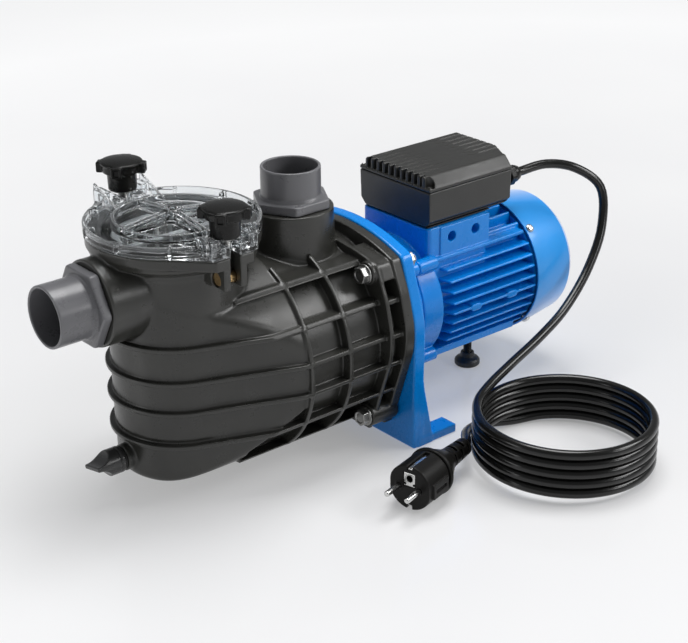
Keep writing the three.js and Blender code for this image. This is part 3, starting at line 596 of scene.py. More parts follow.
def long_ribs(g):
    """Level plates from the strainer side of the volute back to the flange."""
    ribs = []
    for side in (-1, 1):
        for offset in RIB_OFFSETS:
            front = -160 if offset == RIB_OFFSETS[2] else VOLUTE_FRONT
            rib = level_rib(g, from_shaft(g) - RIB_R, SHAFT_Z + side * offset)
            ribs.append(meet(rib, inside(g.x, front, -10), 0))
    return union(ribs)


def flange(g):
    """A thick rear plate and a thin front frame, closed at the shoulders and tied by cross walls."""
    rear = plate_x(g, flange_points(0), -16, CASING_BACK, 0.9)
    front_outline = flange_points(1, arch_r=FRONT_ARCH_R)
    front = plate_x(g, front_outline, -32, -28.2, 0.7)
    solid = join(rear, front, 0)
    shoulder = plate_x(g, front_outline, -31.5, -8, 1.2)
    shoulder = meet(shoulder, 157 - g.z, 1)
    shoulder = meet(shoulder, 40 - np.abs(g.y), 1)
    solid = join(solid, shoulder, 1)
    frame_band = plate_x(g, flange_points(4), -31, -8, 0.7)
    for side in (-1, 1):
        for offset in RIB_OFFSETS:
            from_middle = np.abs(g.z - SHAFT_Z - side * offset)
            solid = join(solid, meet(frame_band, from_middle - RIB_HALF, 0.6), 0.8)
    for y, z in BOLT_PLACES:
        solid = join(solid, rod_x(g, -36, -8, 10, y, z, edge=0.9), 1)
    return solid


def lug_web(g, rim_r):
    """Plan of a lug and the webs that run from its outer corners to touch the round rim, on both sides."""
    turn = math.acos(rim_r / math.hypot(LUG_HALF, LUG_OUT))
    touch = math.atan2(LUG_OUT, LUG_HALF) - turn
    touch_x, touch_y = rim_r * math.cos(touch), rim_r * math.sin(touch)
    points = [(0, 0), (touch_x, touch_y), (LUG_HALF, LUG_OUT), (-LUG_HALF, LUG_OUT), (-touch_x, touch_y)]
    return outline(points, g.x - STRAINER_X, np.abs(g.y))


def forks(g):
    """The ears on both sides of the rim that hold the swing bolts' barrels."""
    across = np.abs(g.y)
    away = np.abs(g.x - SWING_X)
    ears = block(inside(away, SLOT_HALF, 10.5), inside(across, 50, LUG_OUT), inside(g.z, 193.5, 212), 0.9)
    head = slab_z(g, lug_web(g, 68.5), 210.5, RIM_TOP, 1.2)
    backing = block(away - 9, inside(across, 45, 62), inside(g.z, 191, 214), 1.2)
    ears = join(join(ears, head, 1.2), backing, 1)
    slot = block(away - SLOT_HALF, inside(across, 64, 90), inside(g.z, 180, 230), 0.5)
    return cut(ears, slot, 0.6)


def casing_hollows(g):
    sump = meet(meet(strainer_plan(g, 50.5), from_shaft(g) - 77, 3), g.x + 113, 0)
    hollows = [
        meet(sump, inside(g.z, 24.5, 140), 3),
        slab_z(g, from_lid(g) - 47.5, 24.5, 230, 1),
        slab_z(g, from_lid(g) - 50.5, 207, 230, 0.5),
        slab_x(g, from_shaft(g) - 72, -108, 5, 2),
        slab_x(g, from_shaft(g) - 75, -19, 5, 0.5),
        slab_x(g, from_shaft(g) - 24, -125, -100, 0.5),
        rod_x(g, -265, -205, PIPE_R, z=SUCTION_Z, edge=0.5),
        rod_z(g, 160, 220, PIPE_R, DISCHARGE_X, edge=0.5),
        rod_x(g, -245, -210, 6.6, z=DRAIN_Z, edge=0.3),
    ]
    hollows += [rod_x(g, -50, 5, BOLT_HOLE_R, y, z, edge=0.3) for y, z in BOLT_PLACES]
    for y in (-SWING_Y, SWING_Y):
        hollows.append(rod_x(g, SWING_X - 20, SWING_X + 20, 5.8, y, SWING_Z, edge=0.3))
    return union(hollows)


def make_casing():
    g = Grid((-257, -95, 19), (-5, 95, 220), 0.8)
    make_field_piece("casing", g, casing_field(g), "casing", "pump_casing")


# ---------------- strainer lid, seal and basket


def around(angle, count, first=0.0):
    """Folds an angle into one of count equal sectors, measured from the sector's middle."""
    sector = 2 * np.pi / count
    return (angle - math.radians(first) + sector / 2) % sector - sector / 2


def lid_field(g):
    r = from_lid(g)
    angle = np.arctan2(g.y, g.x - STRAINER_X)
    solid = slab_z(g, r - LID_R, 222, 224.6, 0.7)
    rim = slab_z(g, inside(r, 67.2, 70), LID_LOW, 229.5, 0.8)
    ring = slab_z(g, inside(r, *RING_RS), 223, 231, 0.8)
    solid = join(join(solid, rim, 0.8), ring, 0.8)
    hub = cut(slab_z(g, r - 7, 223, 235.6, 0.9), slab_z(g, r - 3.8, 229, 240, 0.5), 0.5)
    solid = join(solid, hub, 0.8)
    # four double-edged spokes that slope down from the hub to the ring
    turned = around(angle, 4)
    across = np.abs(r * np.sin(turned))
    along = r * np.cos(turned)
    crest = 235 - 5 * np.clip((along - 5) / 40, 0, 1)
    spoke = block(across - 3.2, inside(along, 3, 46), np.maximum(g.z - crest, 223 - g.z), 0.7)
    groove = block(across - 1.5, inside(along, 9, 43), crest - 5 - g.z, 0.4)
    solid = join(solid, cut(spoke, groove, 0.3), 0.6)
    # upright stiffeners inside the rim
    turned = around(angle, 10, 18)
    across = np.abs(r * np.sin(turned))
    stiffener = block(across - 1.1, inside(r, 62, 71), inside(g.z, 221, 229), 0.5)
    solid = join(solid, stiffener, 0.6)
    return cut(join(solid, lid_lugs(g), 0.6), lid_slots(g), 0.5)


def lid_lugs(g):
    """Hollow lugs beside each bolt slot, low by the slot and taller outside it, with upright gussets."""
    across = np.abs(g.y)
    away = np.abs(g.x - SWING_X)
    low_lug = block(inside(away, SLOT_HALF, 14.5), inside(across, 58, LUG_OUT),
                    inside(g.z, LID_LOW, 229), 0.7)
    tall_lug = block(inside(away, 13.2, 21), inside(across, 64, LUG_OUT), inside(g.z, LID_LOW, 234.5), 0.7)
    lug = join(low_lug, tall_lug, 0.3)
    outside_rim = 68.5 - from_lid(g)
    web = block(lug_web(g, 69.5), outside_rim, inside(g.z, LID_LOW, 226.5), 0.7)
    lug = join(lug, web, 0.3)
    for inner, outer in ((7.0, 11.4), (15.4, 18.8)):
        pocket = np.maximum(inside(away, inner, outer), inside(across, 66, 80))
        lug = cut(lug, slab_z(g, pocket, 222.5, 240, 0.5), 0.3)
    crest = 228 + 0.4 * (across - 46)
    gusset = block(inside(away, 20.6, 23), inside(across, 42, 78),
                   np.maximum(g.z - crest, 222 - g.z), 0.5)
    return join(lug, gusset, 0.4)


def lid_slots(g):
    across = np.abs(g.y)
    return block(np.abs(g.x - SWING_X) - SLOT_HALF, inside(across, 64, 95), inside(g.z, 210, 245), 0.5)


def basket_field(g):
    r = from_lid(g)
    angle = np.arctan2(g.y, g.x - STRAINER_X)
    rim = slab_z(g, inside(r, 41.5, 49.5), 208, 213.5, 0.9)
    turned = around(angle, 24)
    bars = block(np.abs(r * np.sin(turned)) - 1.4, inside(r, 40.5, 44), inside(g.z, 31, 210), 0.8)
    solid = join(rim, bars, 0.8)
    for z in (31, 60, 90, 120, 150, 180):
        solid = join(solid, slab_z(g, inside(r, 40.5, 44), z, z + 3, 0.8), 0.8)
    solid = join(solid, slab_z(g, r - 43, 30.5, 33.5, 0.8), 0.8)
    handle = block(inside(g.x, STRAINER_X - 43, STRAINER_X + 43), np.abs(g.y) - 3,
                   inside(g.z, 210.5, 213.5), 0.8)
    return join(solid, handle, 0.8)


def make_strainer():
    g = Grid((-248, -84, 219), (-106, 84, 242), 0.75)
    make_field_piece("lid", g, lid_field(g), "clear", "strainer_lid")
    g = Grid((-228, -51, 29), (-126, 51, 215), 1.0)
    make_field_piece("basket", g, basket_field(g), "basket_plastic", "strainer_basket")
    seal = rounded([(54.5, 220.9, 0), (54.5, 219.8, 0.4), (60, 219.8, 0.4), (60, 221.7, 0.4),
                    (54.5, 221.7, 0.4), (54.5, 220.9, 0)])
    lathe("lid_seal", seal, (0, 0, 1), (STRAINER_X, 0, 0), "rubber", "lid_gasket")


# ---------------- unions


def make_unions():
    """Hexagon and pipe end of each port, with the threaded part that enters the boss."""
    for name, node, axis, centre, length, twist in (
            ("suction_pipe", "suction_union", (-1, 0, 0), (-256.8, 0, SUCTION_Z), 39.2, 90),
            ("discharge_pipe", "discharge_union", (0, 0, 1), (DISCHARGE_X, 0, 210.8), 34.2, 0)):
        g = Grid((-36, -36, -25), (36, 36, 40), 0.8)
        r = np.hypot(g.x, g.y)
        solid = slab_z(g, r - PIPE_R, 0, length, 0.9)
        collar = slab_z(g, r - 26.2, 0, 10, 0.9)
        six = hexagon(g.x, g.y, 34 * math.cos(math.pi / 6))
        chamfer = r - 34.2 + np.abs(g.z - 4) * 0.25
        nut = slab_z(g, meet(six, chamfer, 0.8), 0, 8, 0.9)
        male = slab_z(g, r - 24, -24, 1, 0.8)
        groove = 0.9 * (np.abs(((g.z / 2.3) % 1) - 0.5) * 2)
        male = np.maximum(male, np.where(g.z < -1, r - 24 + groove, -9))
        solid = join(join(join(solid, collar, 1), nut, 0.8), male, 0)
        bore = slab_z(g, r - 22.5, 0, 60, 0.8)
        bore = np.minimum(bore, slab_z(g, r - 20, -40, 5, 0.5))
        solid = cut(solid, bore, 0.9)
        turn, origin = axis_frame(axis, centre)
        spin = np.array(Matrix.Rotation(math.radians(twist), 3, "Z"))
        make_field_piece(name, g, solid, "grey_pvc", node, place=(turn @ spin, origin))


# ---------------- swing bolts and knobs


def knob_field(g):
    """A four-lugged hand knob; z is height above its underside."""
    r = np.hypot(g.x, g.y)
    body_r = 11.6 + 0.03 * g.z
    solid = slab_z(g, r - body_r, 0, 22, 1.0)
    head = slab_z(g, r - 15.8, 15, 25.2, 1.2)
    crown = np.sqrt(r * r + (g.z + 70) ** 2) - 95.2
    head = meet(head, crown, 0.8)
    cap = meet(slab_z(g, r - 17.2, 21.2, 25.4, 1.1), crown, 0.8)
    solid = join(join(solid, head, 2), cap, 0.8)
    angle = around(np.arctan2(g.y, g.x), 4, 45)
    across = np.abs(r * np.sin(angle))
    lug = block(across - 4.3, inside(r * np.cos(angle), 6, 20), inside(g.z, 14.2, 23.2), 1.3)
    dish = block(across - 2.2, inside(r * np.cos(angle), 18.6, 30), inside(g.z, 16, 21.5), 0.6)
    solid = join(solid, cut(lug, dish, 0.5), 1.2)
    return cut(solid, slab_z(g, r - 4.3, -5, 19, 0.4), 0.6)


def make_swing_bolts():
    barrel = rounded([(0, -9, 0), (5.5, -9, 0.8), (5.5, 9, 0.8), (0, 9, 0)])
    washer = rounded([(4.4, 232.2, 0), (4.4, 231.8, 0.2), (9, 231.8, 0.3), (9, 232.7, 0.3),
                      (4.4, 232.7, 0.2), (4.4, 232.2, 0)])
    for label, side in (("left", 1), ("right", -1)):
        y = side * SWING_Y
        bolt = f"bolt_{label}"
        lathe(f"barrel_{label}", barrel, (1, 0, 0), (SWING_X, y, SWING_Z), "brass", f"bolt_barrel_{label}",
              bolt, sides=48)
        threaded_rod(f"rod_{label}", 192, 250, 0.55, (0, 0, 1), (SWING_X, y, 0), "zinc_steel",
                     f"swing_bolt_{label}", bolt)
        lathe(f"washer_{label}", washer, (0, 0, 1), (SWING_X, y, 0), "zinc_steel", f"knob_washer_{label}",
              f"washer_{label}", sides=48)
        g = Grid((-21, -21, -1), (21, 21, 27), 0.5)
        knob = f"knob_{label}"
        make_field_piece(f"hand_{knob}", g, knob_field(g), "dark_plastic", knob, knob,
                         place=(np.eye(3), np.array([SWING_X, y, KNOB_Z])))


# ---------------- drain plug


def make_drain():
    seat = -240.2
    g = Grid((-267, -12, -12), (-226, 12, 12), 0.5)
    head = rod_x(g, seat - 26, seat, 11, z=0.0, edge=0.8)
    groove = slab_x(g, np.abs(np.hypot(g.y, g.z) - 11) - 0.5, seat - 4.2, seat - 3.4, 0.2)
    solid = cut(head, groove, 0.3)
    for side in (-1, 1):
        scoop = np.hypot(g.x - (seat - 25), g.z - side * 16.2) - 14.4
        solid = cut(solid, scoop, 0.5)
        beyond = np.maximum(g.x - (seat - 25), side * -g.z + 1.8)
        solid = cut(solid, beyond, 0.5)
    stem = rod_x(g, seat - 2, seat + 13, 6.1, z=0.0, edge=0.8)
    solid = join(solid, stem, 0.5)
    spin = np.array(Matrix.Rotation(math.radians(-13), 3, "X"))
    make_field_piece("drain_wing", g, solid, "drain_plastic", "drain_plug", "drain_plug",
                     place=(spin, np.array([0, 0, DRAIN_Z])))
    seal = rounded([(6.8, seat + 1.2, 0), (6.8, seat + 0.3, 0.4), (10, seat + 0.3, 0.5),
                    (10, seat + 1.9, 0.5), (6.8, seat + 1.9, 0.4), (6.8, seat + 1.2, 0)])
    lathe("drain_seal", seal, (1, 0, 0), (0, 0, DRAIN_Z), "rubber", "drain_gasket", "drain_seal", sides=48)


# ---------------- bracket and bolts


def bracket_points():
    """Outline of the bracket plate in the (y, z) plane: an arched top, two shoulders and straight legs."""
    arch_r, shoulder_y, top = PLATE_ARCH_R, 76.5, 188
    shoulder_z = top - arch_r + math.sqrt(arch_r ** 2 - shoulder_y ** 2)
    return arched_outline(arch_r, shoulder_y, shoulder_z, [(94, 116), (94, 96), (93, 60), (93, 0)], 9)


def make_bracket():
    g = Grid((-6, -95, 0), (45, 95, 190), 1.0)
    solid = plate_x(g, bracket_points(), BRACKET_FRONT, BRACKET_BACK, 1.8)
    across = np.abs(g.y)
    pad = block(inside(across, 75, 93), inside(g.x, 0, 44), inside(g.z, 0, 8), 1.2)
    wedge_back = 16 - 0.4 * np.clip(g.z / 12, 0, 1) - 9.6 * np.clip((g.z - 12) / 46, 0, 1)
    wedge = block(inside(across, 75, 93), inside(g.z, 0, 60), np.maximum(g.x - wedge_back, -g.x), 1.2)
    solid = join(join(solid, wedge, 1.5), pad, 2.5)
    solid = cut(solid, slab_x(g, from_shaft(g) - 36, -20, 20, 0.8), 0.8)
    for y, z in BOLT_PLACES:
        solid = cut(solid, rod_x(g, -20, 20, BOLT_HOLE_R, y, z, edge=0.3), 0.5)
    solid = np.maximum(solid, -g.z)          # its feet end level with the floor
    make_field_piece("bracket", g, solid, "blue_paint", "motor_bracket")


def make_bolts():
    for i, (y, z) in enumerate(BOLT_PLACES):
        g = Grid((-45, -10, -10), (-35, 10, 10), 0.4)
        r = np.hypot(g.y, g.z)
        head = slab_x(g, meet(hexagon(g.y, g.z, HEX_HALF), r - 8.1 + 0.7 * np.maximum(-42.4 - g.x, 0), 0.3),
                      -43.8, -37.9, 0.4)
        washer = slab_x(g, r - 8.5, -37.9, -36.3, 0.4)
        flat = slab_x(g, r - 4.6, -60, -43.1, 0.3)
        solid = cut(join(head, washer, 0.3), flat, 0.4)
        spin = np.array(Matrix.Rotation(math.radians(17 + 31 * i), 3, "X"))
        place = (spin, np.array([0, y, z]))
        number = i + 1
        make_field_piece(f"bolt_head_{number}", g, solid, "zinc_steel", place=place)
        threaded_rod(f"bolt_shank_{number}", -37, 17, 0.5, (1, 0, 0), (0, y, z), "zinc_steel",
                     f"casing_bolt_{number}")
        g = Grid((6, -9, -9), (14, 9, 9), 0.4)
        r = np.hypot(g.y, g.z)
        nut = meet(hexagon(g.y, g.z, HEX_HALF), r - 7.9 + 0.5 * np.maximum(np.abs(g.x - 9.65) - 2, 0), 0.3)
        nut = cut(slab_x(g, nut, 6.3, 13, 0.4), slab_x(g, r - 4.3, 0, 20, 0.2), 0.4)
        make_field_piece(f"nut_{number}", g, nut, "zinc_steel", f"casing_nut_{number}", place=place)


# ---------------- motor


def add_bosses(g, solid, x0, x1):
    """The bosses on both sides that bolt the front shield to the housing."""
    for z in SHIELD_BOSS_Z:
        from_boss = np.hypot(np.abs(g.y) - SHIELD_BOSS_Y, g.z - z)
        solid = join(solid, slab_x(g, from_boss - SHIELD_BOSS_R, x0, x1, 1), 2)
    return solid


def make_front_shield():
    g = Grid((6, -60, 38), (54, 60, 158), 0.9)
    r = from_shaft(g)
    solid = slab_x(g, r - DRUM_R, 6.3, 38, 1.2)
    solid = add_bosses(g, solid, 14, 38)
    hollow = slab_x(g, r - 50, 25, 60, 1)
    hollow = np.minimum(hollow, slab_x(g, inside(r, 20.3, 40), 0, 19.9, 1))
    hollow = np.minimum(hollow, slab_x(g, r - 20.3, 0, 60, 0.5))
    seat = slab_x(g, inside(r, 20.3, 25), 20, 35, 0.6)
    solid = join(cut(solid, hollow, 0.8), seat, 0)
    make_field_piece("drive_end_shield", g, solid, "blue_paint", "front_shield")


def housing_field(g):
    r = from_shaft(g)
    solid = slab_x(g, r - 46.5, 38.3, HOUSING_END, 0.8)
    solid = join(solid, slab_x(g, r - DRUM_R, 38.3, 61.5, 1.5), 2)
    # level side fins: each ends on a circle round the shaft, and its front end leans back towards its root
    pitch, first, thick = 9.5, 43.5, 2.2
    height = g.z - SHAFT_Z
    index = np.clip(np.round((first - height) / pitch), 0, 9)
    from_fin = np.abs(height - (first - index * pitch)) - thick / 2 - 0.35 * np.clip((58 - r) / 12, 0, 1)
    front = 66.5 + 3.5 * np.clip((r - 50) / 12, 0, 1)
    fins = corner(from_fin, np.maximum(r - FIN_R, np.maximum(front - g.x, g.x - HOUSING_END)), 0.7)
    solid = join(solid, fins, 1.6)
    # upright top fins behind the pedestal
    across = np.abs(g.y)
    index = np.clip(np.round(across / 12), 0, 3)
    upright = np.abs(across - index * 12) - 1.2
    top = corner(upright, np.maximum(r - FIN_R, np.maximum(126 - g.x, g.x - HOUSING_END)), 0.7)
    solid = join(solid, meet(top, 118 - g.z, 0), 1.6)
    # ledge under the pedestal, base strip and the two pads that bridge the side fins
    ledge = block(across - 47.5, inside(g.x, 55, 168), inside(g.z, 140.5, 144), 0.9)
    solid = join(solid, ledge, 1.5)
    strip = block(across - 46, inside(g.x, 46, 160), inside(g.z, 50, 56), 1.0)
    solid = join(solid, strip, 1.5)
    for x in (97, 141.5):
        from_pad = np.hypot(np.maximum(np.abs(g.x - x) - 3.2, 0), g.z - 93.2)
        solid = join(solid, corner(from_pad - 3.2, inside(across, 40, 62), 0.8), 0.6)
    solid = add_bosses(g, solid, 38.3, 60)
    solid = join(solid, pedestal_field(g), 1.2)
    return cut(solid, housing_hollows(g, r), 0.6)


def pedestal_field(g):
    across = np.abs(g.y)
    tower = slab_z(g, corner(inside(g.x, 54, 127), across - 43.2, 5), 118, 171, 0.8)
    panel = block(inside(g.x, 68, 126.6), across - 44.4, inside(g.z, 143.5, 170), 0.7)
    solid = join(tower, panel, 0.3)
    for x in (81.5, 110):
        hole = corner(np.hypot(g.x - x, g.z - 159.2) - 4.6, 34 - across, 0.3)
        solid = cut(solid, hole, 0.7)
    return solid


def housing_hollows(g, r):
    hollow = slab_x(g, r - 42, 30, 180, 0.5)
    hollow = np.minimum(hollow, box(g, 70, 110, -20, 20, 120, 180, 2))
    hollow = np.minimum(hollow, rod_z(g, 40, 60, 4.3, FOOT_X, edge=0.3))
    return np.minimum(hollow, g.z - 50)


def make_housing():
    g = Grid((38, -63, 49), (173, 63, 172), 0.8)
    make_field_piece("finned_frame", g, housing_field(g), "blue_paint", "motor_housing")


def make_cowl():
    profile = rounded([
        (62, 174, 0), (62.1, 172.8, 0.5), (63.7, 172.8, 0.6), (62.9, 186, 0), (58.9, 219, 2.5),
        (54.6, 225, 3), (49.5, 226, 1.5), (30, 226, 0), (30, 224.4, 0), (49.2, 224.4, 1), (53.4, 223.4, 2),
        (57, 218.6, 2), (62, 174, 0)], 6)
    lathe("fan_cover", profile, (1, 0, 0), (0, 0, SHAFT_Z), "cowl_paint", "fan_cowl", sides=128)
    # the grille: concentric rings carried on radial bars
    g = Grid((221, -34, SHAFT_Z - 34), (227, 34, SHAFT_Z + 34), 0.6)
    r = from_shaft(g)
    angle = np.arctan2(g.z - SHAFT_Z, g.y)
    thick = inside(g.x, 224, 226)
    solid = corner(r - 8, thick, 0.5)
    for ring in (13.5, 19.5, 25.5, 31):
        solid = join(solid, corner(np.abs(r - ring) - 1.4, thick, 0.5), 0.5)
    turned = around(angle, 12)
    bars = block(np.abs(r * np.sin(turned)) - 1.3, inside(r, 6, 31.5), thick, 0.5)
    make_field_piece("fan_grille", g, join(solid, bars, 0.5), "cowl_paint")
    screw = rounded([(0, -3.8, 0), (2, -3.8, 0.2), (2, 0, 0), (4, 0, 0.4), (3.8, 1.3, 0.9),
                     (2.2, 2.2, 0.8), (0, 2.4, 0)])
    for i, (u, v) in enumerate([(a, b) for a in (-1, 1) for b in (-1, 1)]):
        out = Vector((0, u, v)).normalized()
        centre = np.array([178, 0, SHAFT_Z]) + np.array(out) * 63.4
        lathe(f"cover_screw_{i + 1}", screw, tuple(out), centre, "nickel", f"cowl_screw_{i + 1}", sides=32)


def make_foot():
    disc = rounded([(4.4, 5.4, 0), (4.4, 12.8, 0.3), (6.2, 13, 0.6), (7, 8.6, 1.5), (10.5, 6.8, 1),
                    (12, 5, 1.2), (12, 1.2, 1), (10.8, 0, 0.5), (0, 0, 0)])
    place = (FOOT_X, 0, 0)
    lathe("foot_disc", disc, (0, 0, 1), place, "foot_rubber", "foot_pad", "foot", sides=64)
    threaded_rod("foot_screw", 5.5, 53.5, 0.5, (0, 0, 1), place, "dark_plastic", "foot_stem", "foot")


# ---------------- terminal box


def box_plan(inset):
    """Outline of the terminal box from above, with one corner cut back for the cable's gland."""
    return [(53 + inset, -46 + inset), (152 - inset, -46 + inset), (152 - inset, -35 + inset / 2),
            (166 - inset, -10 + inset / 2), (166 - inset, 46 - inset), (53 + inset, 46 - inset)]


def make_box():
    g = Grid((52, -47, 171), (167, 47, 207), 0.8)
    plan = outline(box_plan(0.3), g.x, g.y)
    draft = plan + 0.02 * (205 - g.z)
    solid = slab_z(g, draft, BOX_LOW, 204.9, 1.2)
    # both long lower edges are chamfered
    solid = meet(solid, (np.abs(g.y) * 0.72 - g.z * 0.69) - (39.4 * 0.72 - BOX_LOW * 0.69), 0.8)
    hollow = slab_z(g, outline(box_plan(3.4), g.x, g.y), 175.2, 215, 1)
    solid = cut(solid, hollow, 0.6)
    solid = cut(solid, box(g, 75, 105, -15, 15, 160, 180, 1), 0.6)
    solid = cut(solid, rod_x(g, 140, 190, 6.3, GLAND_Y, GLAND_Z, edge=0.3), 0.5)
    make_field_piece("junction_box", g, solid, "box_plastic", "terminal_box")
    g = Grid((52, -47, 204), (167, 47, 219), 0.7)
    make_field_piece("junction_lid", g, box_lid_field(g), "box_plastic", "terminal_box_lid")
    g = Grid((53, -45.5, 170), (129, 45.5, 174), 0.5)
    seal = cut(box(g, 56, 130, -41, 41, 171.3, 172.3, 0.4), box(g, 72, 108, -18, 18, 160, 180, 1), 0.3)
    make_field_piece("box_seal", g, seal, "rubber", "terminal_gasket")
    gland_at = (0, GLAND_Y, GLAND_Z)
    gland = rounded([(5.1, 150, 0), (6, 150, 0.3), (6, 168, 0), (6.4, 168, 0), (8, 173, 0.8), (8, 176, 0.8),
                     (6.6, 180, 0.6), (5.1, 180, 0.4), (5.1, 150, 0)])
    lathe("gland_body", gland, (1, 0, 0), gland_at, "dark_plastic", "cable_gland", sides=48)
    g = Grid((165, -11, -11), (175, 11, 11), 0.5)
    r = np.hypot(g.y, g.z)
    nut = slab_x(g, meet(hexagon(g.y, g.z, 8.6), r - 9.8, 0.5), 166.4, 173, 0.6)
    nut = cut(nut, slab_x(g, r - 5.9, 100, 200, 0.2), 0.4)
    make_field_piece("gland_nut", g, nut, "dark_plastic", place=(np.eye(3), np.array(gland_at)))


def box_lid_field(g):
    """A skirt, sloped long sides, and a flat top with grooves at both ends."""
    skirt = slab_z(g, outline(box_plan(0.2), g.x, g.y), 205.3, 208.2, 0.5)
    crown = slab_z(g, outline(box_plan(0.8), g.x, g.y), 206, BOX_TOP - 0.1, 1.2)
    slope = (np.abs(g.y) * 0.74 + g.z * 0.67) - (37.2 * 0.74 + BOX_TOP * 0.67)
    crown = meet(crown, slope, 0.8)
    rear = (g.x * 0.66 + g.z * 0.75) - (162.5 * 0.66 + BOX_TOP * 0.75)
    crown = meet(crown, rear, 0.8)
    solid = join(skirt, crown, 0.6)
    # notches through the front edge open into the lid; a thin groove runs back from each
    pitch = 7.6
    lane = np.maximum(np.abs((g.y + 38) % pitch - pitch / 2), np.abs(g.y - 1) - 37 + pitch / 2)
    notch = block(lane - 2.3, inside(g.x, 40, 58.4), 207.6 - g.z, 0.4)
    vent = block(lane - 2.3, inside(g.x, 50, 64), inside(g.z, 207.6, 214), 0.4)
    solid = cut(solid, np.minimum(notch, vent), 0.4)
    fade = 0.9 * np.clip((94 - g.x) / 20, 0, 1)
    groove = overlap(lane - 0.7, (BOX_TOP - 0.1 - fade) - g.z, inside(g.x, 56, 94))
    solid = cut(solid, groove, 0.3)
    fade = 1.5 * np.clip((g.x - 122) / 20, 0, 1)
    lane = np.maximum(np.abs((g.y + 32) % 8.4 - 4.2), np.abs(g.y - 3) - 33 + 4.2)
    groove = overlap(lane - 0.9, (BOX_TOP - 0.1 - fade) - g.z, 122 - g.x)
    solid = cut(solid, groove, 0.3)
    for y in (-41, 41):
        pocket = np.hypot(g.x - 57.8, g.y - y) - 3.9
        solid = cut(solid, slab_z(g, pocket, 207.2, 230, 0.3), 0.4)
    hollow = slab_z(g, outline(box_plan(8), g.x, g.y), 200, 214.5, 1)
    return cut(solid, hollow, 0.6)


# ---------------- cable and plug

CABLE_R = 4.25
COIL = (77.7, -188.3)
COIL_R = 73.4
TURNS = 4.875
PITCH = 8.62
PLUG_AT = np.array([-77, -166.3, 21])
PLUG_YAW = math.radians(195)
PIN_Y = 9.5


def cable_waypoints():
    # out of the gland, round behind the fan cover and down to the coil
    points = [(x, GLAND_Y, GLAND_Z) for x in (146, 165, 184)]
    points += [(211, -31, 193), (234, -45, 188), (254, -60, 169), (248, -70, 135), (221, -80, 103),
               (181, -90, 77), (139, -100, 65), (92, -110, 56), (57, -119, 50)]
    per_turn = 16
    steps = round(TURNS * per_turn)
    for i in range(steps + 1):
        angle = math.radians(125 + 360 * i / per_turn)
        height = CABLE_R + 0.3 + (steps - i) / per_turn * PITCH
        points.append((COIL[0] + COIL_R * math.cos(angle), COIL[1] + COIL_R * math.sin(angle), height))
    points += [(62, -109, 8), (30, -121, 16)]
    for back in (85, 62, 45):
        along = np.array([math.cos(PLUG_YAW), math.sin(PLUG_YAW), 0])
        points.append(tuple(PLUG_AT - back * along))
    return np.array(points, float)


def smooth_path(points, per_span):
    """Centripetal Catmull-Rom curve through the points."""
    path = []
    padded = np.vstack([2 * points[0] - points[1], points, 2 * points[-1] - points[-2]])
    for i in range(1, len(padded) - 2):
        p0, p1, p2, p3 = padded[i - 1:i + 3]
        d1, d2, d3 = (max(np.linalg.norm(b - a), 1e-6) ** 0.5 for a, b in ((p0, p1), (p1, p2), (p2, p3)))
        m1 = (p1 - p0) / d1 - (p2 - p0) / (d1 + d2) + (p2 - p1) / d2
        m2 = (p2 - p1) / d2 - (p3 - p1) / (d2 + d3) + (p3 - p2) / d3
        m1, m2 = m1 * d2, m2 * d2
        for k in range(per_span):
            t = k / per_span
            path.append((2 * t ** 3 - 3 * t ** 2 + 1) * p1 + (t ** 3 - 2 * t ** 2 + t) * m1
                        + (3 * t ** 2 - 2 * t ** 3) * p2 + (t ** 3 - t ** 2) * m2)
    path.append(padded[-2])
    return np.array(path)


def make_cable():
    path = smooth_path(cable_waypoints(), 6)
    path[:, 2] = np.maximum(path[:, 2], CABLE_R + 0.1)
    sides = 24
    verts = []
    side = Vector((0, 0, 1))
    for i, p in enumerate(path):
        ahead = Vector(path[min(i + 1, len(path) - 1)] - path[max(i - 1, 0)]).normalized()
        side = (side - ahead * side.dot(ahead)).normalized()
        other = ahead.cross(side)
        for k in range(sides):
            angle = 2 * math.pi * k / sides
            across = side * (CABLE_R * math.cos(angle)) + other * (CABLE_R * math.sin(angle))
            verts.append(Vector(p) + across)
    faces = tube_faces(len(path), sides)
    make_piece("cable", np.array(verts), faces, "cable_rubber", "power_cable", smooth=50)


